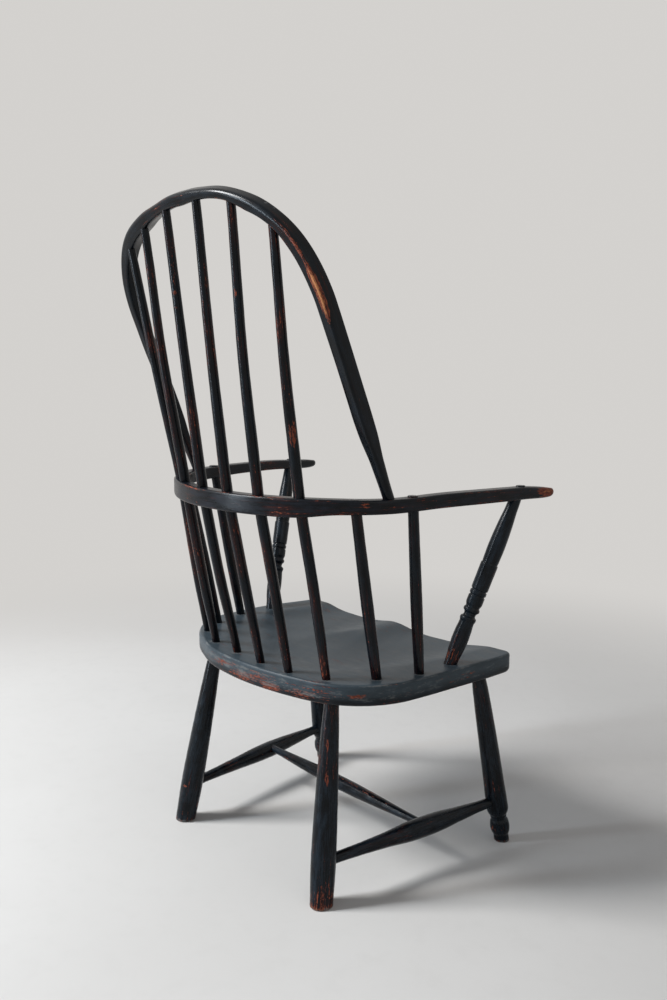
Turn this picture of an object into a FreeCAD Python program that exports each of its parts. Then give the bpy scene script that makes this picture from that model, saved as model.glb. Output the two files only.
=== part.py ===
import FreeCAD, Part
import math
import os
import Sketcher
from FreeCAD import Placement, Rotation, Vector

# Stick-back Windsor armchair with a bent arm bow and a bent back bow.
# Millimetres, +Z up, the sitter faces -Y, the origin lies on the floor under the middle of the chair.
# Every x below is the distance of a mirrored pair from the middle plane.

SIZES = {
    # Running fit of each tenon in its socket, and the air left at the bottom of a blind socket
    "fit_clearance": 0.15,
    "socket_end_gap": 0.4,
    # Straight length of a round end outside the face that it enters
    "neck_length": 12.0,
    # Seat: a plank of elm, round behind and nearly straight in front
    "seat_top_height": 364.0,
    "seat_thickness": 35.0,
    "seat_width": 542.0,
    "seat_rear_reach": 163.0,
    "seat_front_reach": 220.0,
    "seat_widest_reach": 90.0,
    "seat_rear_radius": 580.0,
    "seat_corner_radius": 145.0,
    "seat_side_radius": 1100.0,
    "seat_front_corner_radius": 18.0,
    "seat_under_rounding": 10.0,
    "seat_top_rounding": 4.0,
    # Saddling: two thigh hollows with the pommel between them, and a bowl behind them
    "thigh_hollow_depth": 8.0,
    "thigh_hollow_x": 112.0,
    "thigh_hollow_half_width": 92.0,
    "thigh_hollow_half_length": 260.0,
    "thigh_hollow_reach": 160.0,
    "bowl_depth": 9.0,
    "bowl_half_width": 205.0,
    "bowl_half_length": 118.0,
    "bowl_reach": 10.0,
    # Arm bow: one bent rail, level, with rounded paddle ends
    "arm_top_height": 660.0,
    "arm_width": 26.0,
    "arm_rear_thickness": 26.0,
    "arm_side_thickness": 22.5,
    "arm_tip_thickness": 15.0,
    "arm_edge_rounding": 2.5,
    "arm_rear_reach": 208.0,
    "arm_rear_radius": 330.0,
    "arm_corner_radius": 140.0,
    "arm_corner_bearing": 43.0,
    "arm_splay": 8.5,
    "arm_tip_reach": 258.0,
    "arm_thinning_reach": 185.0,
    "arm_side_reach": 105.0,
    "arm_post_thickness": 20.0,
    # Back bow: a bent hoop leaning back, worked round at its feet
    "bow_foot_reach": 66.0,
    "bow_rake": 23.8,
    "bow_width": 18.5,
    "bow_depth": 21.0,
    "bow_edge_rounding": 5.0,
    "bow_height": 493.0,
    "bow_crown_radius": 416.0,
    "bow_corner_radius": 161.0,
    "bow_foot_diameter": 17.0,
    "bow_foot_rounding": 8.3,
    "bow_taper_height": 112.0,
    "bow_waist_height": 60.0,
    "bow_waist_width": 17.4,
    "bow_waist_rounding": 6.0,
    "bow_foot_depth": 16.0,
    # Long sticks, from the outermost pair to the middle pair
    "outer_stick_seat_x": 174.0,
    "outer_stick_inset": 29.1,
    "outer_stick_arm_x": 167.0,
    "outer_stick_bow_x": 190.5,
    "second_stick_seat_x": 110.0,
    "second_stick_inset": 21.1,
    "second_stick_arm_x": 110.0,
    "second_stick_bow_x": 123.0,
    "middle_stick_seat_x": 37.0,
    "middle_stick_inset": 25.4,
    "middle_stick_arm_x": 35.0,
    "middle_stick_bow_x": 43.5,
    "stick_seat_depth": 15.0,
    "stick_belly_height": 100.0,
    "stick_bend_reach": 42.0,
    "stick_upper_height": 220.0,
    "stick_spring": 3.5,
    "stick_seat_diameter": 14.0,
    "stick_belly_diameter": 17.6,
    "stick_arm_diameter": 17.8,
    "stick_upper_diameter": 15.4,
    "stick_bow_diameter": 13.6,
    "stick_bow_depth": 11.0,
    # Height of the round ends above the arm before they are trimmed level
    "trim_allowance": 7.0,
    # Short sticks under each arm
    "front_short_seat_reach": 25.0,
    "front_short_inset": 19.0,
    "front_short_arm_reach": 23.0,
    "front_short_proud": 2.0,
    "rear_short_seat_reach": 48.0,
    "rear_short_inset": 31.3,
    "rear_short_arm_reach": 112.0,
    "short_stick_seat_diameter": 16.0,
    "short_stick_belly_diameter": 18.8,
    "short_stick_belly_height": 120.0,
    "short_stick_top_diameter": 16.6,
    "short_stick_seat_depth": 22.0,
    "short_stick_curve": 0.5,
    # Turned arm posts, heights measured up the post from the seat
    "post_seat_reach": 102.5,
    "post_inset": 23.4,
    "post_arm_reach": 196.0,
    "post_base_diameter": 22.0,
    "post_proud": 2.0,
    "post_bulb_height": 46.0,
    "post_bulb_diameter": 27.4,
    "post_waist_height": 74.0,
    "post_waist_diameter": 24.6,
    "post_ring_height": 82.0,
    "post_ring_diameter": 26.6,
    "post_cove_height": 89.0,
    "post_cove_diameter": 22.6,
    "post_bead_height": 97.0,
    "post_bead_diameter": 26.4,
    "post_throat_height": 103.0,
    "post_throat_diameter": 24.2,
    "post_drum_height": 109.0,
    "post_drum_diameter": 27.6,
    "post_drum_top_height": 180.0,
    "post_drum_top_diameter": 28.6,
    "post_shoulder_height": 184.0,
    "post_shoulder_diameter": 26.2,
    "post_vase_height": 208.0,
    "post_vase_diameter": 27.6,
    "post_neck_height": 252.0,
    "post_neck_diameter": 24.2,
    "post_flare_gap": 6.0,
    "post_flare_diameter": 19.8,
    "post_end_diameter": 14.6,
    "post_curve": 0.9,
    "post_groove_height": 124.0,
    "post_groove_width": 2.4,
    "post_groove_depth": 1.1,
    "post_groove_pitch": 9.0,
    "post_tenon_depth": 24.0,
    # Legs, heights measured up the leg from the floor
    "rear_leg_seat_reach": 97.0,
    "rear_leg_inset": 38.1,
    "rear_leg_splay": 31.0,
    "rear_leg_rake": 47.0,
    "front_leg_seat_reach": 195.0,
    "front_leg_inset": 37.8,
    "front_leg_splay": 22.0,
    "front_leg_rake": 54.0,
    "leg_curve": 0.8,
    "foot_allowance": 8.0,
    "leg_top_diameter": 24.4,
    "leg_tenon_depth": 15.0,
    "leg_middle_height": 180.0,
    "rear_leg_middle_diameter": 36.0,
    "rear_leg_swell_height": 70.0,
    "rear_leg_swell_diameter": 41.0,
    "rear_foot_diameter": 37.6,
    "front_leg_middle_diameter": 33.8,
    "front_leg_swell_height": 66.0,
    "front_leg_swell_diameter": 38.8,
    "front_neck_height": 51.0,
    "front_neck_diameter": 29.0,
    "ball_top_height": 47.0,
    "ball_bottom_height": 14.0,
    "ball_swell": 4.0,
    "toe_diameter": 27.0,
    # Stretchers, heights measured up each leg from the floor
    "side_stretcher_rear_height": 71.0,
    "side_stretcher_front_height": 78.0,
    "side_stretcher_end_diameter": 17.6,
    "side_stretcher_middle_diameter": 34.5,
    "stretcher_neck_length": 4.0,
    "side_stretcher_overrun": 3.0,
    "side_stretcher_quarter_reach": 78.0,
    "side_stretcher_quarter_diameter": 25.0,
    "side_stretcher_swell_shift": 18.0,
    "cross_stretcher_end_diameter": 13.6,
    "cross_stretcher_middle_diameter": 25.4,
    "cross_stretcher_tenon_depth": 12.0,
    "cross_stretcher_quarter_reach": 105.0,
    "cross_stretcher_quarter_diameter": 20.6,
    "stretcher_curve": 0.9,
}

PARTS_FOLDER = "parts"
TRIM_SPAN = 900.0
TRIM_RISE = 40.0
SAME_PLACE = 0.01
NEAR = -1
FAR = 1
SIDE_NAMES = {NEAR: "right", FAR: "left"}
UP = Vector(0, 0, 1)

doc = FreeCAD.newDocument("WindsorChair")
sheet = doc.addObject("Spreadsheet::Sheet", "Sizes")
sheet_rows = {}


def put_in_sheet(name, value):
    """Write one plain number with its alias on the next free row and return the alias."""
    row = len(sheet_rows) + 1
    sheet.set(f"A{row}", name)
    sheet.set(f"B{row}", repr(round(float(value), 9)))
    sheet.setAlias(f"B{row}", name)
    sheet_rows[name] = row
    return name


for size_name, size_value in SIZES.items():
    put_in_sheet(size_name, size_value)
doc.recompute()


def size(name):
    """Read one size back from the sheet."""
    return float(sheet.get(name))


def worked_out(name, value):
    """Keep a size that follows from the driving ones in the sheet too."""
    put_in_sheet(name, value)
    doc.recompute([sheet])
    return size(name)


def derived(name, value):
    """Keep a size that follows from the driving ones, and return its alias."""
    worked_out(name, value)
    return name


def cell(name):
    """Expression that reads one cell of the sheet."""
    return f"<<Sizes>>.{name}"


sheet.Label = "Sizes"


def circles_meet(first, first_radius, second, second_radius):
    """Meeting point of two circles in plan, the one with the larger x."""
    apart = (second - first).Length
    along = (apart ** 2 + first_radius ** 2 - second_radius ** 2) / (2 * apart)
    aside = math.sqrt(first_radius ** 2 - along ** 2)
    way = (second - first).normalize()
    middle = first + way * along
    offset = Vector(-way.y, way.x, 0) * aside
    return max((middle + offset, middle - offset), key=lambda point: point.x)


class SeatPlan:
    """Half of the seat's outline: rear arc, corner arc, side arc and straight front edge."""

    def __init__(self):
        self.rear_radius = size("seat_rear_radius")
        self.corner_radius = size("seat_corner_radius")
        self.side_radius = size("seat_side_radius")
        self.front_radius = size("seat_front_corner_radius")
        self.front_y = -size("seat_front_reach")
        self.rear_centre = Vector(0, size("seat_rear_reach") - self.rear_radius, 0)
        side_x = size("seat_width") / 2 - self.side_radius
        self.side_centre = Vector(side_x, -size("seat_widest_reach"), 0)
        self.corner_centre = circles_meet(self.rear_centre, self.rear_radius - self.corner_radius,
                                          self.side_centre, self.side_radius - self.corner_radius)
        front_centre_y = self.front_y + self.front_radius
        drop = front_centre_y - self.side_centre.y
        reach = math.sqrt((self.side_radius - self.front_radius) ** 2 - drop ** 2)
        self.front_centre = Vector(side_x + reach, front_centre_y, 0)

    def touch(self, outer_centre, inner_centre, outer_radius):
        """Point where two arcs that touch from inside run into each other."""
        return outer_centre + (inner_centre - outer_centre).normalize() * outer_radius

    def rear_touch(self):
        return self.touch(self.rear_centre, self.corner_centre, self.rear_radius)

    def side_touch(self):
        return self.touch(self.side_centre, self.corner_centre, self.side_radius)

    def front_touch(self):
        return self.touch(self.side_centre, self.front_centre, self.side_radius)

    def behind(self, x, inset):
        """Point at this x, inset from the rear edge."""
        if x < self.rear_touch().x:
            centre, radius = self.rear_centre, self.rear_radius
        else:
            centre, radius = self.corner_centre, self.corner_radius
        inner = radius - inset
        return Vector(x, centre.y + math.sqrt(inner ** 2 - (x - centre.x) ** 2), 0)

    def beside(self, y, inset):
        """Point at this y, inset from the side edge."""
        if y < self.side_touch().y:
            centre, radius = self.side_centre, self.side_radius
        else:
            centre, radius = self.corner_centre, self.corner_radius
        inner = radius - inset
        return Vector(centre.x + math.sqrt(inner ** 2 - (y - centre.y) ** 2), y, 0)


class ArmPlan:
    """Half of the arm bow's centre line: rear arc, corner arc and splayed straight arm."""

    def __init__(self):
        self.rear_radius = size("arm_rear_radius")
        self.corner_radius = size("arm_corner_radius")
        self.tip_y = -size("arm_tip_reach")
        splay = math.radians(size("arm_splay"))
        self.outward = Vector(math.cos(splay), math.sin(splay), 0)
        self.along = Vector(math.sin(splay), -math.cos(splay), 0)
        self.rear_centre = Vector(0, size("arm_rear_reach") - self.rear_radius, 0)
        drop = self.rear_radius - self.corner_radius
        turn = math.radians(size("arm_corner_bearing"))
        self.corner_centre = self.rear_centre + Vector(math.sin(turn), math.cos(turn), 0) * drop
        self.line_start = self.corner_centre + self.outward * self.corner_radius
        self.rear_touch = self.rear_centre + Vector(math.sin(turn), math.cos(turn), 0) * self.rear_radius
        self.tip_centre = self.beside(self.tip_y)

    def behind(self, x):
        """Point of the centre line at this x, on the rear half."""
        if x < self.rear_touch.x:
            centre, radius = self.rear_centre, self.rear_radius
        else:
            centre, radius = self.corner_centre, self.corner_radius
        return Vector(x, centre.y + math.sqrt(radius ** 2 - (x - centre.x) ** 2), 0)

    def beside(self, y):
        """Point of the centre line at this y, along the side."""
        if y < self.line_start.y:
            run = (y - self.line_start.y) / self.along.y
            return self.line_start + self.along * run
        x = self.corner_centre.x + math.sqrt(self.corner_radius ** 2 - (y - self.corner_centre.y) ** 2)
        return Vector(x, y, 0)

    def thickness(self, y):
        """Thickness of the rail at this y."""
        steps = [(size("arm_thinning_reach"), size("arm_rear_thickness")),
                 (size("arm_side_reach"), size("arm_side_thickness")),
                 (-size("post_arm_reach"), size("arm_post_thickness"))]
        if y >= steps[0][0]:
            return steps[0][1]
        for (high, before), (low, after) in zip(steps, steps[1:]):
            if y >= low:
                return after + (before - after) * (y - low) / (high - low)
        return steps[-1][1]


def add_sketch(body, name, role):
    """Sketch on one of the body's own origin planes."""
    sketch = body.newObject("Sketcher::SketchObject", name)
    plane = [feature for feature in body.Origin.OriginFeatures if feature.Role == role][0]
    sketch.AttachmentSupport = [(plane, "")]
    sketch.MapMode = "FlatFace"
    return sketch


def vertex_at(sketch, geometry, point):
    """Number of the end of a sketch edge that lies at this point: 1 for its start, 2 for its end."""
    start = sketch.getPoint(geometry, 1)
    end = sketch.getPoint(geometry, 2)
    return 1 if (start - point).Length < (end - point).Length else 2


def bind(sketch, kind, references, value, expression):
    """Dimension of a sketch, tied to the sheet."""
    index = sketch.addConstraint(Sketcher.Constraint(kind, *references, value))
    sketch.setExpression(f"Constraints[{index}]", expression)
    return index


def arc_radius(chord, rise):
    """Radius of an arc with this chord that stands this much off it."""
    return (chord ** 2 / 4 + rise ** 2) / (2 * rise)


class Station:
    """One corner of a turned outline: height and diameter, and the rise of the curve above it."""

    def __init__(self, height, diameter, curve=None):
        self.height = height
        self.diameter = diameter
        self.curve = curve

    def point(self):
        return Vector(size(self.diameter) / 2, size(self.height) if self.height else 0, 0)


def turned_body(label, stations):
    """Round piece turned about its own Z axis, from its stations in order of height."""
    body = doc.addObject("PartDesign::Body", label)
    body.Label = label
    sketch = add_sketch(body, f"{label}_profile", "XZ_Plane")
    corners = [station.point() for station in stations]
    foot = Vector(0, corners[0].y, 0)
    head = Vector(0, corners[-1].y, 0)
    loop = [foot] + corners + [head]
    edges = []
    for index in range(len(loop) - 1):
        start, end = loop[index], loop[index + 1]
        curve = stations[index - 1].curve if 0 < index < len(loop) - 2 else None
        if curve:
            chord = end - start
            rise = size(curve)
            out = Vector(chord.y, -chord.x, 0).normalize() * rise
            edge = sketch.addGeometry(Part.Arc(start, start + chord * 0.5 + out, end), False)
            radius_name = worked_out(f"{label}_curve_{index}", arc_radius(chord.Length, rise))
            bind(sketch, "Radius", (edge,), radius_name, cell(f"{label}_curve_{index}"))
        else:
            edge = sketch.addGeometry(Part.LineSegment(start, end), False)
        edges.append(edge)
    edges.append(sketch.addGeometry(Part.LineSegment(head, foot), False))
    loop.append(foot)
    for index, edge in enumerate(edges):
        following = edges[(index + 1) % len(edges)]
        shared = loop[index + 1]
        sketch.addConstraint(Sketcher.Constraint("Coincident", edge, vertex_at(sketch, edge, shared),
                                                 following, vertex_at(sketch, following, shared)))
    axis = edges[-1]
    sketch.addConstraint(Sketcher.Constraint("PointOnObject", axis, 1, -2))
    sketch.addConstraint(Sketcher.Constraint("PointOnObject", axis, 2, -2))
    sketch.addConstraint(Sketcher.Constraint("Horizontal", edges[0]))
    sketch.addConstraint(Sketcher.Constraint("Horizontal", edges[-2]))
    for index, station in enumerate(stations):
        edge = edges[index]
        corner = corners[index]
        vertex = vertex_at(sketch, edge, corner)
        bind(sketch, "DistanceX", (-1, 1, edge, vertex), corner.x, f"{cell(station.diameter)} / 2")
        if station.height:
            bind(sketch, "DistanceY", (-1, 1, edge, vertex), corner.y, cell(station.height))
        else:
            sketch.addConstraint(Sketcher.Constraint("PointOnObject", edge, vertex, -1))
    turn = body.newObject("PartDesign::Revolution", f"{label}_turning")
    turn.Profile = sketch
    turn.ReferenceAxis = (sketch, ["V_Axis"])
    turn.Angle = 360
    sketch.Visibility = False
    return body


def pointing(start, end):
    """Placement at start with the local Z axis towards end."""
    return Placement(start, Rotation(UP, end - start))


def mirrored(point, side):
    """The same point on the sitter's right or left."""
    return Vector(abs(point.x) * side, point.y, point.z)


def round_cutter(label, start_diameter, end_diameter, start, end):
    """Round cutter from start to end, one running fit wider than the piece that goes in."""
    length_name = f"{label}_length"
    worked_out(length_name, (end - start).Length)
    if start_diameter == end_diameter:
        tool = doc.addObject("Part::Cylinder", label)
        tool.setExpression("Radius", f"{cell(start_diameter)} / 2 + {cell('fit_clearance')}")
    else:
        tool = doc.addObject("Part::Cone", label)
        tool.setExpression("Radius1", f"{cell(start_diameter)} / 2 + {cell('fit_clearance')}")
        tool.setExpression("Radius2", f"{cell(end_diameter)} / 2 + {cell('fit_clearance')}")
    tool.setExpression("Height", cell(length_name))
    tool.Placement = pointing(start, end)
    return tool


def trim_box(label, low, high):
    """Wide level box between two heights, to saw ends off level."""
    box = doc.addObject("Part::Box", label)
    box.Length = TRIM_SPAN
    box.Width = TRIM_SPAN
    worked_out(f"{label}_height", high - low)
    box.setExpression("Height", cell(f"{label}_height"))
    box.Placement = Placement(Vector(-TRIM_SPAN / 2, -TRIM_SPAN / 2, low), Rotation())
    return box


def cut_piece(label, base, cutters):
    """Finished piece: the base less its sockets and trimmings."""
    base.Label = f"{label}_blank"
    tool = cutters[0]
    if len(cutters) > 1:
        tool = doc.addObject("Part::Compound", f"{label}_cutters")
        tool.Links = cutters
    piece = doc.addObject("Part::Cut", label)
    piece.Base = base
    piece.Tool = tool
    piece.Label = label
    return piece


def raised(name, offset_name):
    """Cell of a height moved up by an offset, both taken from the sheet."""
    moved = f"{name}_above_{offset_name}"
    if moved not in sheet_rows:
        worked_out(moved, size(name) + size(offset_name))
    return moved


def smooth_edges(body, feature, label, rounding, wanted):
    """Fillet on the wanted edges of a feature."""
    doc.recompute()
    names = [f"Edge{number}" for number, edge in enumerate(feature.Shape.Edges, 1) if wanted(edge)]
    fillet = body.newObject("PartDesign::Fillet", label)
    fillet.Base = (feature, names)
    fillet.setExpression("Radius", cell(rounding))
    return fillet


def at_height(edge, height):
    """True where the whole edge lies at one height of its body."""
    box = edge.BoundBox
    return abs(box.ZMin - height) < SAME_PLACE and abs(box.ZMax - height) < SAME_PLACE


def on_middle_plane(edge):
    box = edge.BoundBox
    return abs(box.XMin) < SAME_PLACE and abs(box.XMax) < SAME_PLACE


def mirror_half(body, feature, label):
    """The same feature on the other side of the middle plane."""
    mirror = body.newObject("PartDesign::Mirrored", label)
    mirror.Originals = [feature]
    plane = [item for item in body.Origin.OriginFeatures if item.Role == "YZ_Plane"][0]
    mirror.MirrorPlane = (plane, [""])
    body.Tip = mirror
    return mirror


def joined(sketch, chain):
    """Join each edge of an open chain to the next one without a corner."""
    for first, second, shared in chain:
        sketch.addConstraint(Sketcher.Constraint("Tangent", first, vertex_at(sketch, first, shared),
                                                 second, vertex_at(sketch, second, shared)))


def arc_between(centre, radius, start, end):
    """Arc about a centre from start to end, by the short way."""
    middle = centre + ((start - centre) + (end - centre)).normalize() * radius
    return Part.Arc(start, middle, end)


def make_seat(plan, cutters):
    """Seat plank: half an outline padded down from the top and mirrored, rounded, then saddled."""
    body = doc.addObject("PartDesign::Body", "seat_plank")
    sketch = add_sketch(body, "seat_outline", "XY_Plane")
    front_middle = Vector(0, plan.front_y, 0)
    front_end = Vector(plan.front_centre.x, plan.front_y, 0)
    rear_middle = Vector(0, size("seat_rear_reach"), 0)
    front = sketch.addGeometry(Part.LineSegment(front_middle, front_end), False)
    front_corner = sketch.addGeometry(
        arc_between(plan.front_centre, plan.front_radius, front_end, plan.front_touch()), False)
    side = sketch.addGeometry(
        arc_between(plan.side_centre, plan.side_radius, plan.front_touch(), plan.side_touch()), False)
    corner = sketch.addGeometry(
        arc_between(plan.corner_centre, plan.corner_radius, plan.side_touch(), plan.rear_touch()), False)
    rear = sketch.addGeometry(
        arc_between(plan.rear_centre, plan.rear_radius, plan.rear_touch(), rear_middle), False)
    closing = sketch.addGeometry(Part.LineSegment(rear_middle, front_middle), False)
    joined(sketch, [(front, front_corner, front_end), (front_corner, side, plan.front_touch()),
                    (side, corner, plan.side_touch()), (corner, rear, plan.rear_touch())])
    sketch.addConstraint(Sketcher.Constraint("Coincident", rear, vertex_at(sketch, rear, rear_middle),
                                             closing, 1))
    sketch.addConstraint(Sketcher.Constraint("Coincident", closing, 2, front, 1))
    sketch.addConstraint(Sketcher.Constraint("PointOnObject", closing, 1, -2))
    sketch.addConstraint(Sketcher.Constraint("PointOnObject", closing, 2, -2))
    sketch.addConstraint(Sketcher.Constraint("Horizontal", front))
    sketch.addConstraint(Sketcher.Constraint("PointOnObject", rear, 3, -2))
    bind(sketch, "Radius", (front_corner,), plan.front_radius, cell("seat_front_corner_radius"))
    bind(sketch, "Radius", (side,), plan.side_radius, cell("seat_side_radius"))
    bind(sketch, "Radius", (corner,), plan.corner_radius, cell("seat_corner_radius"))
    bind(sketch, "Radius", (rear,), plan.rear_radius, cell("seat_rear_radius"))
    bind(sketch, "DistanceY", (-1, 1, closing, 1), rear_middle.y, cell("seat_rear_reach"))
    bind(sketch, "DistanceY", (closing, 2, -1, 1), -front_middle.y, cell("seat_front_reach"))
    bind(sketch, "DistanceY", (side, 3, -1, 1), -plan.side_centre.y, cell("seat_widest_reach"))
    bind(sketch, "DistanceX", (side, 3, -1, 1), -plan.side_centre.x,
         f"{cell('seat_side_radius')} - {cell('seat_width')} / 2")
    pad = body.newObject("PartDesign::Pad", "seat_half")
    pad.Profile = sketch
    pad.setExpression("Length", cell("seat_thickness"))
    pad.Reversed = True
    whole = mirror_half(body, pad, "seat_both_halves")
    thickness = size("seat_thickness")
    under = smooth_edges(body, whole, "seat_under_edge", "seat_under_rounding",
                         lambda edge: at_height(edge, -thickness) and not on_middle_plane(edge))
    top = smooth_edges(body, under, "seat_top_edge", "seat_top_rounding",
                       lambda edge: at_height(edge, 0) and not on_middle_plane(edge))
    for name, x, y, half_width, half_length, depth in (
            ("right_hollow", -size("thigh_hollow_x"), -size("thigh_hollow_reach"),
             "thigh_hollow_half_width", "thigh_hollow_half_length", "thigh_hollow_depth"),
            ("left_hollow", size("thigh_hollow_x"), -size("thigh_hollow_reach"),
             "thigh_hollow_half_width", "thigh_hollow_half_length", "thigh_hollow_depth"),
            ("bowl", 0, size("bowl_reach"), "bowl_half_width", "bowl_half_length", "bowl_depth")):
        hollow = body.newObject("PartDesign::SubtractiveEllipsoid", name)
        hollow.setExpression("Radius1", cell(depth))
        hollow.setExpression("Radius2", cell(half_width))
        hollow.setExpression("Radius3", cell(half_length))
        hollow.Angle1 = -90
        hollow.Angle2 = 90
        hollow.Angle3 = 360
        hollow.Placement = Placement(Vector(x, y, 0), Rotation())
    body.Placement = Placement(Vector(0, 0, size("seat_top_height")), Rotation())
    return cut_piece("seat", body, cutters)


def make_arm_bow(plan, cutters):
    """Arm bow: half its outline padded up and mirrored, thinned towards the tips, edges eased."""
    body = doc.addObject("PartDesign::Body", "arm_rail")
    sketch = add_sketch(body, "arm_outline", "XY_Plane")
    half = size("arm_width") / 2
    ends = {}
    edges = {}
    for name, offset in (("outer", half), ("inner", -half)):
        rear_radius = plan.rear_radius + offset
        corner_radius = plan.corner_radius + offset
        middle = Vector(0, plan.rear_centre.y + rear_radius, 0)
        turn = plan.rear_centre + (plan.rear_touch - plan.rear_centre).normalize() * rear_radius
        straight = plan.line_start + plan.outward * offset
        tip = plan.tip_centre + plan.outward * offset
        edges[name] = (
            sketch.addGeometry(arc_between(plan.rear_centre, rear_radius, middle, turn), False),
            sketch.addGeometry(arc_between(plan.corner_centre, corner_radius, turn, straight), False),
            sketch.addGeometry(Part.LineSegment(straight, tip), False))
        ends[name] = (middle, turn, straight, tip)
        joined(sketch, [(edges[name][0], edges[name][1], turn), (edges[name][1], edges[name][2], straight)])
        sign = "+" if offset > 0 else "-"
        bind(sketch, "Radius", (edges[name][0],), rear_radius,
             f"{cell('arm_rear_radius')} {sign} {cell('arm_width')} / 2")
        bind(sketch, "Radius", (edges[name][1],), corner_radius,
             f"{cell('arm_corner_radius')} {sign} {cell('arm_width')} / 2")
    nose = plan.tip_centre + plan.along * half
    tip_arc = sketch.addGeometry(Part.Arc(ends["outer"][3], nose, ends["inner"][3]), False)
    joined(sketch, [(edges["outer"][2], tip_arc, ends["outer"][3]),
                    (edges["inner"][2], tip_arc, ends["inner"][3])])
    closing = sketch.addGeometry(Part.LineSegment(ends["inner"][0], ends["outer"][0]), False)
    for vertex, name in ((1, "inner"), (2, "outer")):
        rear_arc = edges[name][0]
        sketch.addConstraint(Sketcher.Constraint("Coincident", closing, vertex, rear_arc,
                                                 vertex_at(sketch, rear_arc, ends[name][0])))
        sketch.addConstraint(Sketcher.Constraint("PointOnObject", closing, vertex, -2))
    sketch.addConstraint(Sketcher.Constraint("PointOnObject", edges["outer"][0], 3, -2))
    sketch.addConstraint(Sketcher.Constraint("Coincident", edges["outer"][0], 3, edges["inner"][0], 3))
    bind(sketch, "DistanceY", (edges["outer"][0], 3, -1, 1), -plan.rear_centre.y,
         f"{cell('arm_rear_radius')} - {cell('arm_rear_reach')}")
    corner_x = worked_out("arm_corner_centre_x", plan.corner_centre.x)
    for name in ("outer", "inner"):
        bind(sketch, "DistanceX", (-1, 1, edges[name][1], 3), corner_x, cell("arm_corner_centre_x"))
    bind(sketch, "Radius", (tip_arc,), half, f"{cell('arm_width')} / 2")
    tip_x = worked_out("arm_tip_centre_x", plan.tip_centre.x)
    bind(sketch, "DistanceX", (-1, 1, tip_arc, 3), tip_x, cell("arm_tip_centre_x"))
    bind(sketch, "DistanceY", (tip_arc, 3, -1, 1), -plan.tip_centre.y, cell("arm_tip_reach"))
    pad = body.newObject("PartDesign::Pad", "arm_half")
    pad.Profile = sketch
    pad.setExpression("Length", cell("arm_rear_thickness"))
    whole = mirror_half(body, pad, "arm_both_halves")

    thin = add_sketch(body, "arm_thinning", "YZ_Plane")
    full = size("arm_rear_thickness")
    front_end = size("arm_tip_reach") + size("arm_width")
    corners = [(size("arm_thinning_reach"), 0),
               (size("arm_side_reach"), full - size("arm_side_thickness")),
               (-size("post_arm_reach"), full - size("arm_post_thickness")),
               (-front_end, full - size("arm_tip_thickness")),
               (-front_end, -full), (size("arm_thinning_reach"), -full)]
    points = [Vector(y, z, 0) for y, z in corners]
    worked_out("arm_thinning_end", front_end)
    across = ["arm_thinning_reach", "arm_side_reach", "post_arm_reach", "arm_thinning_end"]
    upward = [None, "arm_side_thickness", "arm_post_thickness", "arm_tip_thickness"]
    lines = [thin.addGeometry(Part.LineSegment(points[i], points[(i + 1) % len(points)]), False)
             for i in range(len(points))]
    for index, line in enumerate(lines):
        thin.addConstraint(Sketcher.Constraint("Coincident", line, 2, lines[(index + 1) % len(lines)], 1))
    thin.addConstraint(Sketcher.Constraint("Vertical", lines[3]))
    thin.addConstraint(Sketcher.Constraint("Horizontal", lines[4]))
    thin.addConstraint(Sketcher.Constraint("Vertical", lines[5]))
    thin.addConstraint(Sketcher.Constraint("PointOnObject", lines[0], 1, -1))
    bind(thin, "DistanceY", (lines[4], 1, -1, 1), full, cell("arm_rear_thickness"))
    for index in range(4):
        ahead = points[index].x > 0
        ends_of_size = (-1, 1, lines[index], 1) if ahead else (lines[index], 1, -1, 1)
        bind(thin, "DistanceX", ends_of_size, abs(points[index].x), cell(across[index]))
        if upward[index]:
            bind(thin, "DistanceY", (-1, 1, lines[index], 1), points[index].y,
                 f"{cell('arm_rear_thickness')} - {cell(upward[index])}")
    pocket = body.newObject("PartDesign::Pocket", "arm_thinned")
    pocket.Profile = thin
    pocket.Length = TRIM_SPAN
    pocket.Midplane = True
    eased = smooth_edges(body, pocket, "arm_eased_edges", "arm_edge_rounding",
                         lambda edge: at_height(edge, full) and not on_middle_plane(edge))
    body.Placement = Placement(Vector(0, 0, size("arm_top_height") - full), Rotation())
    return cut_piece("arm_bow", body, cutters)


class BowPlan:
    """Back bow's centre line in its own leaning plane: x across, height up the plane from the arm."""

    def __init__(self, foot_point):
        self.foot = foot_point
        self.rake = math.radians(size("bow_rake"))
        self.half_span = foot_point.x
        self.corner_radius = size("bow_corner_radius")
        self.top_radius = size("bow_crown_radius")
        self.top_centre = Vector(0, size("bow_height") - self.top_radius, 0)
        across = self.half_span - self.corner_radius
        rise = math.sqrt((self.top_radius - self.corner_radius) ** 2 - across ** 2)
        self.spring = self.top_centre.y + rise
        self.corner_centre = Vector(across, self.spring, 0)
        way = (self.corner_centre - self.top_centre).normalize()
        self.touch = self.top_centre + way * self.top_radius

    def height_at(self, x):
        """Height up the plane of the centre line at this x."""
        if x < self.touch.x:
            return self.top_centre.y + math.sqrt(self.top_radius ** 2 - x ** 2)
        return self.spring + math.sqrt(self.corner_radius ** 2 - (x - self.corner_centre.x) ** 2)

    def in_space(self, x, height):
        """Place in the chair of a point of the plane."""
        return Vector(x, self.foot.y + height * math.sin(self.rake),
                      self.foot.z + height * math.cos(self.rake))


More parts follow.
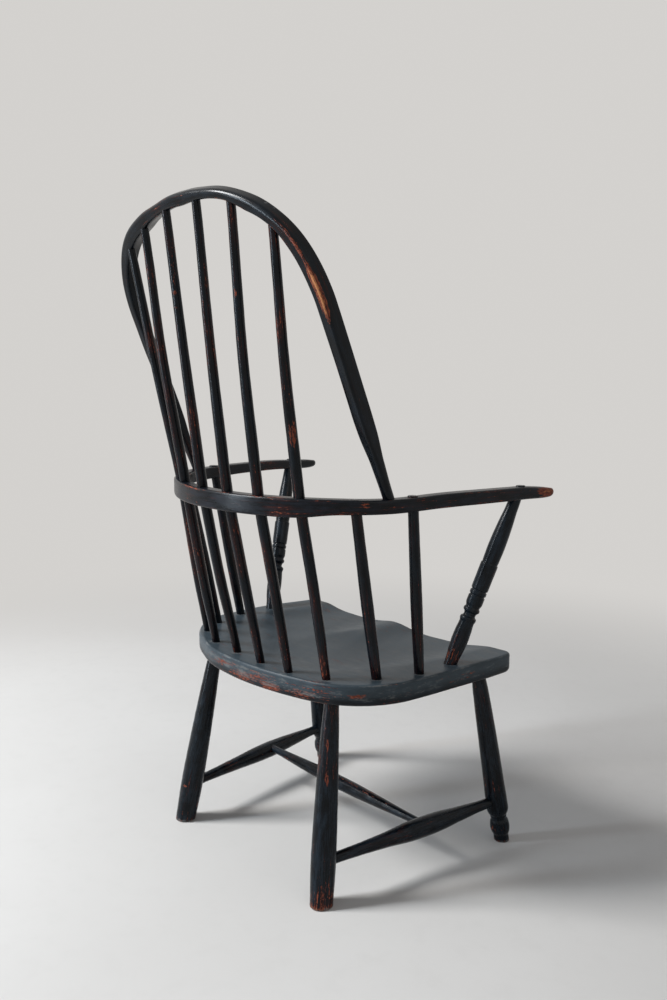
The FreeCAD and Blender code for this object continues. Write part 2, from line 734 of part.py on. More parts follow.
def rounded_rectangle(sketch, width, depth, rounding):
    """Rectangle about the sketch's origin with round corners, bound to three cells."""
    half_width = size(width) / 2
    half_depth = size(depth) / 2
    radius = size(rounding)
    lines = []
    arcs = []
    corners = [(1, 1), (-1, 1), (-1, -1), (1, -1)]
    for index, (across, up) in enumerate(corners):
        centre = Vector(across * (half_width - radius), up * (half_depth - radius), 0)
        start_angle = math.radians(90 * index)
        arcs.append(sketch.addGeometry(Part.ArcOfCircle(Part.Circle(centre, Vector(0, 0, 1), radius),
                                                        start_angle, start_angle + math.pi / 2), False))
    for index in range(4):
        start = sketch.getPoint(arcs[index], 2)
        end = sketch.getPoint(arcs[(index + 1) % 4], 1)
        lines.append(sketch.addGeometry(Part.LineSegment(start, end), False))
    for index in range(4):
        sketch.addConstraint(Sketcher.Constraint("Tangent", arcs[index], 2, lines[index], 1))
        sketch.addConstraint(Sketcher.Constraint("Tangent", lines[index], 2, arcs[(index + 1) % 4], 1))
    for index in range(3):
        sketch.addConstraint(Sketcher.Constraint("Equal", arcs[index], arcs[index + 1]))
    sketch.addConstraint(Sketcher.Constraint("Horizontal", lines[0]))
    sketch.addConstraint(Sketcher.Constraint("Vertical", lines[1]))
    sketch.addConstraint(Sketcher.Constraint("Symmetric", arcs[0], 3, arcs[2], 3, -1, 1))
    bind(sketch, "Radius", (arcs[0],), radius, cell(rounding))
    bind(sketch, "DistanceX", (arcs[1], 2, arcs[0], 1), 2 * half_width, cell(width))
    bind(sketch, "DistanceY", (arcs[3], 1, arcs[0], 2), 2 * half_depth, cell(depth))


def bow_section(body, label, side, plan, height_name, width, depth, rounding):
    """Section of the back bow across one of its legs, at a height up the leg."""
    sketch = add_sketch(body, label, "XY_Plane")
    height = size(height_name)
    sketch.AttachmentOffset = Placement(Vector(side * plan.half_span, 0, height), Rotation())
    sketch.setExpression("AttachmentOffset.Base.z", cell(height_name))
    rounded_rectangle(sketch, width, depth, rounding)
    return sketch


def make_back_bow(plan, cutters):
    """Back bow: a section swept round the hoop, lofted down to two round feet."""
    body = doc.addObject("PartDesign::Body", "back_hoop")
    path = add_sketch(body, "bow_path", "XZ_Plane")
    taper = size("bow_taper_height")
    top = Vector(0, size("bow_height"), 0)
    spans = {}
    for side in (NEAR, FAR):
        low = Vector(side * plan.half_span, taper, 0)
        spring = Vector(side * plan.half_span, plan.spring, 0)
        centre = mirrored(plan.corner_centre, side)
        touch = mirrored(plan.touch, side)
        line = path.addGeometry(Part.LineSegment(low, spring), False)
        corner = path.addGeometry(arc_between(centre, plan.corner_radius, spring, touch), False)
        joined(path, [(line, corner, spring)])
        spans[side] = (line, corner, touch)
    crown = path.addGeometry(Part.Arc(spans[FAR][2], top, spans[NEAR][2]), False)
    joined(path, [(spans[side][1], crown, spans[side][2]) for side in (NEAR, FAR)])
    half_span = worked_out("bow_half_span", plan.half_span)
    worked_out("bow_spring_height", plan.spring)
    for side in (NEAR, FAR):
        line, corner, touch = spans[side]
        path.addConstraint(Sketcher.Constraint("Vertical", line))
        bind(path, "DistanceY", (-1, 1, line, 1), taper, cell("bow_taper_height"))
        bind(path, "DistanceY", (-1, 1, corner, 3), plan.spring, cell("bow_spring_height"))
        bind(path, "Radius", (corner,), plan.corner_radius, cell("bow_corner_radius"))
        reach = (-1, 1, line, 1) if side == FAR else (line, 1, -1, 1)
        bind(path, "DistanceX", reach, half_span, cell("bow_half_span"))
    bind(path, "Radius", (crown,), plan.top_radius, cell("bow_crown_radius"))

    section = bow_section(body, "bow_hoop_section", FAR, plan, "bow_taper_height",
                          "bow_width", "bow_depth", "bow_edge_rounding")
    hoop = body.newObject("PartDesign::AdditivePipe", "bow_hoop")
    hoop.Profile = section
    hoop.Spine = path
    body.Tip = hoop
    for side in (NEAR, FAR):
        name = SIDE_NAMES[side]
        upper = bow_section(body, f"bow_{name}_upper", side, plan, "bow_taper_height",
                            "bow_width", "bow_depth", "bow_edge_rounding")
        waist = bow_section(body, f"bow_{name}_waist", side, plan, "bow_waist_height",
                            "bow_waist_width", "bow_waist_width", "bow_waist_rounding")
        lower = bow_section(body, f"bow_{name}_lower", side, plan, "neck_length",
                            "bow_foot_diameter", "bow_foot_diameter", "bow_foot_rounding")
        loft = body.newObject("PartDesign::AdditiveLoft", f"bow_{name}_taper")
        loft.Profile = upper
        loft.Sections = [waist, lower]
        ring = add_sketch(body, f"bow_{name}_dowel_ring", "XY_Plane")
        ring.AttachmentOffset = Placement(Vector(side * plan.half_span, 0, size("neck_length")), Rotation())
        ring.setExpression("AttachmentOffset.Base.z", cell("neck_length"))
        radius = size("bow_foot_diameter") / 2
        circle = ring.addGeometry(Part.Circle(Vector(), UP, radius), False)
        ring.addConstraint(Sketcher.Constraint("Coincident", circle, 3, -1, 1))
        bind(ring, "Radius", (circle,), radius, f"{cell('bow_foot_diameter')} / 2")
        dowel = body.newObject("PartDesign::Pad", f"bow_{name}_dowel")
        dowel.Profile = ring
        dowel.setExpression("Length", f"{cell('bow_foot_depth')} + {cell('neck_length')}")
        dowel.Reversed = True
    body.Placement = Placement(Vector(0, plan.foot.y, plan.foot.z),
                               Rotation(Vector(1, 0, 0), -size("bow_rake")))
    return cut_piece("back_bow", body, cutters)


def stick_loft(label, stations, widening):
    """Stick shaved round along a slightly bent axis: circles at stations, skinned."""
    rings = []
    facing = Rotation(UP, stations[-1][0] - stations[0][0])
    for index, (place, diameter) in enumerate(stations):
        ring = doc.addObject("Part::Circle", f"{label}_ring_{index}")
        ring.setExpression("Radius", f"{cell(diameter)} / 2" + (f" + {cell(widening)}" if widening else ""))
        ring.Placement = Placement(place, facing)
        rings.append(ring)
    loft = doc.addObject("Part::Loft", label)
    loft.Sections = rings
    loft.Solid = True
    loft.Ruled = False
    return loft


def long_stick_stations(seat_point, arm_point, bow_point):
    """Axis points and diameters of a long stick from its seat tenon to its end in the back bow."""
    lower = (arm_point - seat_point).normalize()
    upper = (bow_point - arm_point).normalize()
    bend = size("stick_bend_reach")
    neck = size("neck_length")
    overrun = size("stick_bow_depth") - size("bow_width") / 2
    return [(seat_point - lower * size("stick_seat_depth"), "stick_seat_diameter"),
            (seat_point + lower * neck, "stick_seat_diameter"),
            (seat_point + lower * size("stick_belly_height"), "stick_belly_diameter"),
            (arm_point - lower * bend, "stick_arm_diameter"),
            (arm_point + upper * bend, "stick_arm_diameter"),
            (arm_point + upper * size("stick_upper_height") + Vector(0, size("stick_spring"), 0),
             "stick_upper_diameter"),
            (bow_point - upper * (size("bow_width") / 2 + neck), "stick_bow_diameter"),
            (bow_point + upper * overrun, "stick_bow_diameter")]


def longer(stations, gap):
    """The same stations with both ends moved out by a gap."""
    first, second = stations[0][0], stations[1][0]
    last, before = stations[-1][0], stations[-2][0]
    start = first - (second - first).normalize() * gap
    end = last + (last - before).normalize() * gap
    return [(start, stations[0][1])] + stations[1:-1] + [(end, stations[-1][1])]


def on_level(point, height):
    """Point of a plan, lifted to a height."""
    return Vector(point.x, point.y, height)


def upright(label, stations, start, end, cutters):
    """Turned piece stood on its line, with its ends trimmed or its sockets cut."""
    body = turned_body(label, stations)
    body.Placement = pointing(start, end)
    if cutters:
        return cut_piece(label, body, cutters)
    return body


def make_long_stick(number, pair, side):
    """Long stick through the arm bow, and the cutter of its three sockets."""
    label = f"long_stick_{number}"
    seat_point = on_level(seat_plan.behind(size(f"{pair}_stick_seat_x"), size(f"{pair}_stick_inset")),
                          seat_top)
    arm_point = on_level(arm_plan.behind(size(f"{pair}_stick_arm_x")), arm_top)
    bow_x = size(f"{pair}_stick_bow_x")
    bow_point = bow_plan.in_space(bow_x, bow_plan.height_at(bow_x))
    places = [mirrored(point, side) for point in (seat_point, arm_point, bow_point)]
    stations = long_stick_stations(*places)
    stick = stick_loft(label, stations, None)
    socket = stick_loft(f"{label}_socket", longer(stations, end_gap), "fit_clearance")
    for cutters in (seat_cutters, arm_cutters, bow_cutters):
        cutters.append(socket)
    return stick


def make_short_stick(place, seat_y, arm_y, inset, side, proud):
    """Short stick from the seat up through the arm, trimmed level above it."""
    label = f"short_stick_{place}_{SIDE_NAMES[side]}"
    low = mirrored(on_level(seat_plan.beside(seat_y, inset), seat_top), side)
    high = mirrored(on_level(arm_plan.beside(arm_y), arm_top), side)
    way = (high - low).normalize()
    depth = size("short_stick_seat_depth")
    through = arm_plan.thickness(arm_y) / way.z + neck
    length = depth + (high - low).Length
    seat_end = low - way * depth
    stations = [
        Station(None, "short_stick_seat_diameter"),
        Station(raised("neck_length", "short_stick_seat_depth"), "short_stick_seat_diameter",
                "short_stick_curve"),
        Station(raised("short_stick_belly_height", "short_stick_seat_depth"),
                "short_stick_belly_diameter", "short_stick_curve"),
        Station(derived(f"{label}_neck", length - through), "short_stick_top_diameter"),
        Station(derived(f"{label}_end", length + size("trim_allowance")), "short_stick_top_diameter")]
    trim = trim_box(f"{label}_trim", arm_top + proud, arm_top + proud + TRIM_RISE)
    seat_cutters.append(round_cutter(f"{label}_seat_socket", "short_stick_seat_diameter",
                                     "short_stick_seat_diameter", low + way * neck,
                                     seat_end - way * end_gap))
    arm_cutters.append(round_cutter(f"{label}_arm_hole", "short_stick_top_diameter",
                                    "short_stick_top_diameter", high - way * through,
                                    high + way * (size("trim_allowance") + end_gap)))
    return upright(label, stations, seat_end, high, [trim])


def drum_diameter(height):
    """Diameter of the arm post's tapered drum at a height."""
    low, high = size("post_drum_height"), size("post_drum_top_height")
    share = (height - low) / (high - low)
    return size("post_drum_diameter") * (1 - share) + size("post_drum_top_diameter") * share


def groove_stations(side_name, order):
    """Three corners of one V groove round the drum."""
    middle = size("post_groove_height") + order * size("post_groove_pitch")
    half = size("post_groove_width") / 2
    corners = []
    for index, (offset, cut) in enumerate(((-half, 0), (0, size("post_groove_depth")), (half, 0))):
        tag = f"post_{side_name}_groove_{order}_{index}"
        height = middle + offset
        corners.append(Station(derived(f"{tag}_height", height + size("post_tenon_depth")),
                               derived(f"{tag}_diameter", drum_diameter(height) - 2 * cut)))
    return corners


def make_arm_post(side):
    """Turned arm post from the seat up through the arm, with a tapered tenon."""
    name = SIDE_NAMES[side]
    label = f"arm_post_{name}"
    low = mirrored(on_level(seat_plan.beside(-size("post_seat_reach"), size("post_inset")), seat_top), side)
    arm_y = -size("post_arm_reach")
    high = mirrored(on_level(arm_plan.beside(arm_y), arm_top), side)
    way = (high - low).normalize()
    depth = size("post_tenon_depth")
    seat_end = low - way * depth
    length = depth + (high - low).Length
    taper = arm_plan.thickness(arm_y) / way.z + size("post_flare_gap")
    over = size("trim_allowance")

    def turned(part, curve=None):
        return Station(raised(f"post_{part}_height", "post_tenon_depth"), f"post_{part}_diameter", curve)

    stations = [Station(None, "post_base_diameter"),
                Station(raised("neck_length", "post_tenon_depth"), "post_base_diameter", "post_curve"),
                turned("bulb", "post_curve"), turned("waist"), turned("ring"), turned("cove"),
                turned("bead"), turned("throat"), turned("drum")]
    stations += groove_stations(name, 0) + groove_stations(name, 1)
    stations += [turned("drum_top"), turned("shoulder", "post_curve"), turned("vase", "post_curve"),
                 turned("neck"),
                 Station(derived(f"{label}_flare", length - taper), "post_flare_diameter"),
                 Station(derived(f"{label}_end", length + over), "post_end_diameter")]
    proud = size("post_proud")
    trim = trim_box(f"{label}_trim", arm_top + proud, arm_top + proud + TRIM_RISE)
    seat_cutters.append(round_cutter(f"{label}_seat_socket", "post_base_diameter", "post_base_diameter",
                                     low + way * neck, seat_end - way * end_gap))
    arm_cutters.append(round_cutter(f"{label}_arm_hole", "post_flare_diameter", "post_end_diameter",
                                    high - way * taper, high + way * over))
    return upright(label, stations, seat_end, high, [trim])


class LegLine:
    """Line of one leg, from the floor to the underside of the seat."""

    def __init__(self, place, side):
        sign = 1 if place == "rear" else -1
        reach = sign * size(f"{place}_leg_seat_reach")
        head = on_level(seat_plan.beside(reach, size(f"{place}_leg_inset")), seat_under)
        spread = Vector(size(f"{place}_leg_splay"), sign * size(f"{place}_leg_rake"), -seat_under)
        self.place = place
        self.label = f"leg_{place}_{SIDE_NAMES[side]}"
        self.head = mirrored(head, side)
        self.foot = mirrored(head + spread, side)
        self.way = (self.head - self.foot).normalize()
        self.cutters = [floor_trim]

    def at(self, height):
        """Point of the axis this far up the leg."""
        return self.foot + self.way * height

    def stations(self):
        below = "foot_allowance"
        if self.place == "rear":
            bottom = [Station(None, "rear_foot_diameter", "leg_curve"),
                      Station(raised("rear_leg_swell_height", below), "rear_leg_swell_diameter",
                              "leg_curve"),
                      Station(raised("leg_middle_height", below), "rear_leg_middle_diameter",
                              "leg_curve")]
        else:
            bottom = [Station(None, "toe_diameter"),
                      Station(raised("ball_bottom_height", below), "toe_diameter", "ball_swell"),
                      Station(raised("ball_top_height", below), "toe_diameter"),
                      Station(raised("front_neck_height", below), "front_neck_diameter"),
                      Station(raised("front_leg_swell_height", below), "front_leg_swell_diameter",
                              "leg_curve"),
                      Station(raised("leg_middle_height", below), "front_leg_middle_diameter",
                              "leg_curve")]
        length = (self.head - self.foot).Length + size(below)
        return bottom + [
            Station(derived(f"{self.label}_neck", length - neck), "leg_top_diameter"),
            Station(derived(f"{self.label}_end", length + size("leg_tenon_depth")), "leg_top_diameter")]

    def make(self):
        """Turned leg with a blind tenon in the seat, sawn level at the floor."""
        seat_cutters.append(round_cutter(
            f"{self.label}_seat_socket", "leg_top_diameter", "leg_top_diameter",
            self.head - self.way * neck,
            self.head + self.way * (size("leg_tenon_depth") + end_gap)))
        return upright(self.label, self.stations(), self.at(-size("foot_allowance")), self.head,
                       self.cutters)


def stretcher_stations(label, kind, neck_reach, length, middle):
    """Stations of a stretcher: two straight necks, two quarters and the swell."""
    end = f"{kind}_stretcher_end_diameter"
    quarter = f"{kind}_stretcher_quarter_diameter"
    reach = size(f"{kind}_stretcher_quarter_reach")
    curve = "stretcher_curve"
    return [Station(None, end),
            Station(derived(f"{label}_first_neck", neck_reach), end),
            Station(derived(f"{label}_first_quarter", middle - reach), quarter, curve),
            Station(derived(f"{label}_middle", middle), f"{kind}_stretcher_middle_diameter", curve),
            Station(derived(f"{label}_last_quarter", middle + reach), quarter),
            Station(derived(f"{label}_last_neck", length - neck_reach), end),
            Station(derived(f"{label}_length", length), end)]


def make_side_stretcher(side, rear_leg, front_leg):
    """Side stretcher between two legs; returns it with the middle of its swell still uncut."""
    label = f"stretcher_side_{SIDE_NAMES[side]}"
    rear = rear_leg.at(size("side_stretcher_rear_height"))
    front = front_leg.at(size("side_stretcher_front_height"))
    way = (front - rear).normalize()
    overrun = size("side_stretcher_overrun")
    start = rear - way * overrun
    length = (front - rear).Length + 2 * overrun
    neck_reach = overrun + size("rear_leg_swell_diameter") / 2 + size("stretcher_neck_length")
    middle = length / 2 + size("side_stretcher_swell_shift")
    stations = stretcher_stations(label, "side", neck_reach, length, middle)
    end_diameter = "side_stretcher_end_diameter"
    rear_leg.cutters.append(round_cutter(f"{label}_rear_socket", end_diameter, end_diameter,
                                         start + way * neck_reach, start - way * end_gap))
    front_leg.cutters.append(round_cutter(f"{label}_front_socket", end_diameter, end_diameter,
                                          start + way * (length - neck_reach),
                                          start + way * (length + end_gap)))
    return label, stations, start, front, start + way * middle


seat_plan = SeatPlan()
arm_plan = ArmPlan()
seat_top = size("seat_top_height")
seat_under = seat_top - size("seat_thickness")
arm_top = size("arm_top_height")
neck = size("neck_length")
end_gap = size("socket_end_gap")
bow_plan = BowPlan(on_level(arm_plan.beside(size("bow_foot_reach")), arm_top))
seat_cutters = []
arm_cutters = []
bow_cutters = []
pieces = []

for number, (pair, side) in enumerate((("outer", NEAR), ("second", NEAR), ("middle", NEAR),
                                       ("middle", FAR), ("second", FAR), ("outer", FAR)), 1):
    pieces.append(make_long_stick(number, pair, side))

floor_trim = trim_box("floor_trim", -TRIM_RISE, 0)
legs = []
side_stretchers = []
for side in (NEAR, FAR):
    pieces.append(make_short_stick("front", -size("front_short_seat_reach"), size("front_short_arm_reach"),
                                   size("front_short_inset"), side, size("front_short_proud")))
    pieces.append(make_short_stick("rear", size("rear_short_seat_reach"), size("rear_short_arm_reach"),
                                   size("rear_short_inset"), side, 0))
    pieces.append(make_arm_post(side))
    bow_foot = mirrored(bow_plan.foot, side)
    lean = (bow_plan.in_space(0, 1) - bow_plan.in_space(0, 0))
    arm_cutters.append(round_cutter(f"bow_{SIDE_NAMES[side]}_socket", "bow_foot_diameter",
                                    "bow_foot_diameter", bow_foot + lean * neck,
                                    bow_foot - lean * (size("bow_foot_depth") + end_gap)))
    rear_leg = LegLine("rear", side)
    front_leg = LegLine("front", side)
    side_stretchers.append(make_side_stretcher(side, rear_leg, front_leg))
    legs += [rear_leg, front_leg]
pieces += [leg.make() for leg in legs]

cross_right = side_stretchers[0][4]
cross_left = side_stretchers[1][4]
cross_way = (cross_left - cross_right).normalize()
cross_inset = size("side_stretcher_middle_diameter") / 2 - size("cross_stretcher_tenon_depth")
cross_length = (cross_left - cross_right).Length - 2 * cross_inset
cross_neck = size("cross_stretcher_tenon_depth") + size("stretcher_neck_length")
cross_end = "cross_stretcher_end_diameter"
for (label, stations, start, end, swell), inward in zip(side_stretchers, (cross_way, -cross_way)):
    socket = round_cutter(f"{label}_cross_socket", cross_end, cross_end,
                          swell + inward * (cross_inset + cross_neck),
                          swell + inward * (cross_inset - end_gap))
    pieces.append(upright(label, stations, start, end, [socket]))
pieces.append(upright("stretcher_cross",
                      stretcher_stations("stretcher_cross", "cross", cross_neck, cross_length,
                                         cross_length / 2),
                      cross_right + cross_way * cross_inset, cross_left, []))

pieces.append(make_seat(seat_plan, seat_cutters))
pieces.append(make_arm_bow(arm_plan, arm_cutters))
pieces.append(make_back_bow(bow_plan, bow_cutters))
doc.recompute()

for item in doc.Objects:
    if "Invalid" in item.State or "Error" in item.State:
        raise RuntimeError(f"{item.Label} did not build: {item.State}")
os.makedirs(PARTS_FOLDER, exist_ok=True)
for piece in pieces:
    shape = piece.Shape
    if shape.isNull() or not shape.isValid() or len(shape.Solids) != 1:
        raise RuntimeError(f"{piece.Label} is not one sound solid")
    shape.exportStep(os.path.join(PARTS_FOLDER, f"{piece.Label}.step"))
    box = shape.optimalBoundingBox(False, False)
    print(f"{piece.Label}: volume {shape.Volume:.0f}, x {box.XMin:.1f} to {box.XMax:.1f}, "
          f"y {box.YMin:.1f} to {box.YMax:.1f}, z {box.ZMin:.1f} to {box.ZMax:.1f}")
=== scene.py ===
import math

import bpy
import numpy as np
from mathutils import Matrix, Vector


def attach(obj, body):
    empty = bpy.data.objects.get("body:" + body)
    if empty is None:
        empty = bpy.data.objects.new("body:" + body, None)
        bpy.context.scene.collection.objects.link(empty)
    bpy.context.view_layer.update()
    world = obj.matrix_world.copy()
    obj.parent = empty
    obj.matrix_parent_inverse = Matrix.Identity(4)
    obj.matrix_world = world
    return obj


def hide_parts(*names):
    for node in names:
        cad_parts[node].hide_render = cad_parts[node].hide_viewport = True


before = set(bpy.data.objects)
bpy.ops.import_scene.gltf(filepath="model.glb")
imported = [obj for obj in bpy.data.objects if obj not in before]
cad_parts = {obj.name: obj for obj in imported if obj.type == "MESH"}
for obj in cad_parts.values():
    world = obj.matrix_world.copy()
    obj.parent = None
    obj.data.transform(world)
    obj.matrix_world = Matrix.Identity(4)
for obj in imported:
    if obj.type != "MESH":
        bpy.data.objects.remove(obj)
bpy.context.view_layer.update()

MM = 0.001
RIGHT, LEFT = -1, 1
SIDES = {RIGHT: "right", LEFT: "left"}


# Small maths. Lengths are in millimetres until a mesh is written.

def vec(*values):
    return np.array(values, float)


def unit(v):
    return v / np.linalg.norm(v, axis=-1, keepdims=True)


def smoothstep(low, high, x):
    t = np.clip((np.asarray(x, float) - low) / (high - low), 0, 1)
    return t * t * (3 - 2 * t)


def monotone(knots, x):
    """Smooth curve through the knots (x, y) that never overshoots them."""
    xs, ys = np.array(knots, float).T
    step = np.diff(xs)
    rise = np.diff(ys) / step
    slope = np.zeros_like(ys)
    slope[0], slope[-1] = rise[0], rise[-1]
    for i in range(1, len(xs) - 1):
        if rise[i - 1] * rise[i] > 0:
            a = 2 * step[i] + step[i - 1]
            b = step[i] + 2 * step[i - 1]
            slope[i] = (a + b) / (a / rise[i - 1] + b / rise[i])
    i = np.clip(np.searchsorted(xs, x) - 1, 0, len(xs) - 2)
    t = (x - xs[i]) / step[i]
    return ((2 * t ** 3 - 3 * t ** 2 + 1) * ys[i] + (t ** 3 - 2 * t ** 2 + t) * step[i] * slope[i]
            + (3 * t ** 2 - 2 * t ** 3) * ys[i + 1] + (t ** 3 - t ** 2) * step[i] * slope[i + 1])


# Octaves of a wobble, the turns of its main and its side swell per length, and what brings it near 1
WAVE_OCTAVES = 3
WAVE_MAIN, WAVE_SIDE = 6.28, 10.1
WAVE_RANGE = 2.4


def wave(seed, x, size):
    """Repeatable smooth wobble between about -1 and 1, whose main swell is as long as the size."""
    rng = np.random.default_rng(seed)
    x = np.asarray(x, float)
    total = np.zeros_like(x)
    for octave in range(WAVE_OCTAVES):
        phase, twist = rng.uniform(0, WAVE_MAIN, 2)
        scale = 2 ** octave
        total += np.sin(x * scale * WAVE_MAIN / size + phase) / scale
        total += 0.5 * np.sin(x * scale * WAVE_SIDE / size + twist) / scale
    return total / WAVE_RANGE


def run_along(points):
    """Distance of each point from the first one, along the line."""
    return np.concatenate([[0], np.cumsum(np.linalg.norm(np.diff(points, axis=0), axis=1))])


def cross_frames(points, up):
    """Two cross directions at each point of a line; the second lies near 'up'."""
    tangent = unit(np.gradient(points, axis=0))
    across = unit(np.cross(tangent, up))
    return across, np.cross(across, tangent)


UP = vec(0, 0, 1)
NO_WEAR = vec(0, 0, 0)


# Mesh makers. A skin is a grid of rings along a piece. Its "flow" runs straight along the wood. Its "worn"
# says how far each point has lost its black paint (x), lost its red coat too (y) or gathered dust (z).

def worn_at(node, points):
    """Wear that the places in WORN_PLACES give to a piece."""
    total = np.zeros(points.shape)
    for centre, radii, amounts in WORN_PLACES.get(node, ()):
        reach = np.linalg.norm((points - vec(*centre)) / vec(*radii), axis=-1)
        total = np.maximum(total, smoothstep(1.0, 0.25, reach)[..., None] * vec(*amounts))
    return total


def with_ends(rings):
    """All points of the rings in one list, followed by the middles of the first and the last ring."""
    rings = np.asarray(rings, float)
    return np.vstack([rings.reshape(-1, 3), rings[0].mean(0), rings[-1].mean(0)])


def add_attribute(mesh, name, values):
    layer = mesh.attributes.new(name, "FLOAT_VECTOR", "POINT")
    layer.data.foreach_set("vector", np.asarray(values, np.float32).reshape(-1))


def skin(name, node, rings, flow, worn, material):
    """Closed mesh over the rings, which dresses a node of the part."""
    rings = np.asarray(rings, float)
    count, around = rings.shape[:2]
    worn = np.broadcast_to(worn, rings.shape) + worn_at(node, rings)
    faces = []
    for i in range(count - 1):
        a, b = i * around, (i + 1) * around
        for k in range(around):
            q = (k + 1) % around
            faces.append((a + k, a + q, b + q, b + k))
    first_middle, last_middle = count * around, count * around + 1
    last_ring = (count - 1) * around
    for k in range(around):
        q = (k + 1) % around
        faces.append((first_middle, q, k))
        faces.append((last_middle, last_ring + k, last_ring + q))
    mesh = bpy.data.meshes.new(name)
    mesh.from_pydata((with_ends(rings) * MM).tolist(), [], faces)
    mesh.polygons.foreach_set("use_smooth", [True] * len(mesh.polygons))
    add_attribute(mesh, "flow", with_ends(flow) * MM)
    add_attribute(mesh, "worn", with_ends(worn))
    mesh.materials.append(material)
    piece = bpy.data.objects.new(name, mesh)
    bpy.context.scene.collection.objects.link(piece)
    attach(piece, "root")
    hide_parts(node)


def spokes(theta, across, other):
    """Directions from a round piece's axis to the points of its rings."""
    return np.cos(theta)[:, None] * across[..., None, :] + np.sin(theta)[:, None] * other[..., None, :]


def round_flow(along, r, theta):
    return np.stack([along, r * np.cos(theta), r * np.sin(theta)], -1)


# A lathe piece is this share out of round. Its ends have a bevel and close with two smaller rings,
# whose sizes are shares of the end's radius.
OVAL = 0.012
END_BEVEL = 1.0
END_OUTER, END_INNER = 0.9, 0.45
# Distance over which a cut end is brought level, and between the grains of two pieces
LEVEL_REACH = 30
FLOW_APART = 137.0


def turned(node, start, end, profile, material, seed, step, around, bend,
           level_start=None, level_end=None, rubbed=()):
    """Piece turned on a lathe, slightly oval and never quite straight, from start to end.

    An end that has a level is cut flat at that height. Rubbed holds (distance from start, width, wear).
    """
    length = np.linalg.norm(end - start)
    way = (end - start) / length
    side = unit(np.cross(way, UP if abs(way[2]) < 0.9 else vec(0, 1, 0)))
    other = np.cross(way, side)
    s = np.arange(0, length + step * 0.5, step)
    s[-1] = length
    theta = np.linspace(0, 2 * math.pi, around, endpoint=False)
    squash = OVAL * np.cos(2 * (theta - seed)) * (1 + wave(seed, s, 300)[:, None])
    r = profile(s)[:, None] * (1 + squash)
    r = r + 0.12 * wave(seed + 1, s, 40)[:, None] + 0.1 * wave(seed + 2, theta * 20, 60)
    r = np.vstack([r[0] * END_INNER, r[0] * END_OUTER, r, r[-1] * END_OUTER, r[-1] * END_INNER])
    along = np.repeat(s[:, None], around, 1)
    along = np.vstack([along[:1], along[:1], along, along[-1:], along[-1:]])
    along[2] += END_BEVEL
    along[-3] -= END_BEVEL
    offset = r[..., None] * spokes(theta, side, other)
    bend_way = side * math.cos(seed) + other * math.sin(seed)
    arch = bend * np.sin(along / length * math.pi)[..., None] * bend_way
    points = start + along[..., None] * way + offset + arch
    for level, tip, reach in ((level_start, start, along), (level_end, end, length - along)):
        if level is not None:
            shift = (level - tip[2] - offset[..., 2]) / way[2]
            points = points + (shift * np.clip(1 - reach / LEVEL_REACH, 0, 1))[..., None] * way
    flow = round_flow(along + seed * FLOW_APART, r, theta)
    worn = np.zeros(points.shape)
    for at, width, amounts in rubbed:
        worn += np.exp(-((along - at) / width) ** 2)[..., None] * vec(*amounts)
    skin(f"{node}_wood", node, points, flow, worn, material)


# Steps round each corner and along each side of a bow's section
PER_CORNER, PER_SIDE = 6, 4


def rounded_section(half_w, half_h, radii):
    """Walk round a rectangle with a radius for each corner: points, and how near each lies to an arris."""
    radii = np.minimum(np.broadcast_to(radii, 4), min(half_w, half_h) - 0.05)
    signs = ((1, 1), (-1, 1), (-1, -1), (1, -1))
    arcs = []
    for index, (sx, sy) in enumerate(signs):
        r = radii[index]
        angles = math.pi / 2 * (index + np.linspace(0, 1, PER_CORNER + 1))
        centre = vec(sx * (half_w - r), sy * (half_h - r))
        arcs.append(centre + r * np.stack([np.cos(angles), np.sin(angles)], -1))
    points, edge = [], []
    for index, arc in enumerate(arcs):
        points.extend(arc)
        edge.extend(np.sin(np.linspace(0, math.pi, PER_CORNER + 1)))
        target = arcs[(index + 1) % 4][0]
        for k in range(1, PER_SIDE):
            points.append(arc[-1] + (target - arc[-1]) * k / PER_SIDE)
            edge.append(0.0)
    return np.array(points), np.array(edge)


# Places that the chair's pieces share with its solids

SEAT_TOP, SEAT_THICK = 364.0, 35.0
SEAT_UNDER = SEAT_TOP - SEAT_THICK
ARM_TOP = 660.0
BOW_FOOT_Y, BOW_FOOT_DEPTH = 66.0, 15.0
BOW_RAKE = math.radians(23.8)
BOW_UP = vec(0, math.sin(BOW_RAKE), math.cos(BOW_RAKE))
BOW_BACK = vec(0, math.cos(BOW_RAKE), -math.sin(BOW_RAKE))

ARM_HALF_W = 13.0
ARM_R, ARM_CORNER_R = 330.0, 140.0
ARM_TURN = math.radians(43.0)
ARM_SPLAY = math.radians(8.5)
ARM_REAR_C = vec(0, 208.0 - ARM_R)
ARM_CORNER_C = ARM_REAR_C + (ARM_R - ARM_CORNER_R) * vec(math.sin(ARM_TURN), math.cos(ARM_TURN))
ARM_OUT = vec(math.cos(ARM_SPLAY), math.sin(ARM_SPLAY))
ARM_ALONG = vec(math.sin(ARM_SPLAY), -math.cos(ARM_SPLAY))
ARM_START = ARM_CORNER_C + ARM_OUT * ARM_CORNER_R
ARM_NOSE_Y = -258.0


def arm_beside(y):
    """Place of the left arm's centre line at this y."""
    if y < ARM_START[1]:
        return ARM_START + ARM_ALONG * (y - ARM_START[1]) / ARM_ALONG[1]
    return vec(ARM_CORNER_C[0] + math.sqrt(ARM_CORNER_R ** 2 - (y - ARM_CORNER_C[1]) ** 2), y)


def arm_behind(x):
    """The rear centre line's y at this x."""
    x = abs(x)
    if x < ARM_R * math.sin(ARM_TURN):
        return ARM_REAR_C[1] + math.sqrt(ARM_R ** 2 - x * x)
    return ARM_CORNER_C[1] + math.sqrt(ARM_CORNER_R ** 2 - (x - ARM_CORNER_C[0]) ** 2)


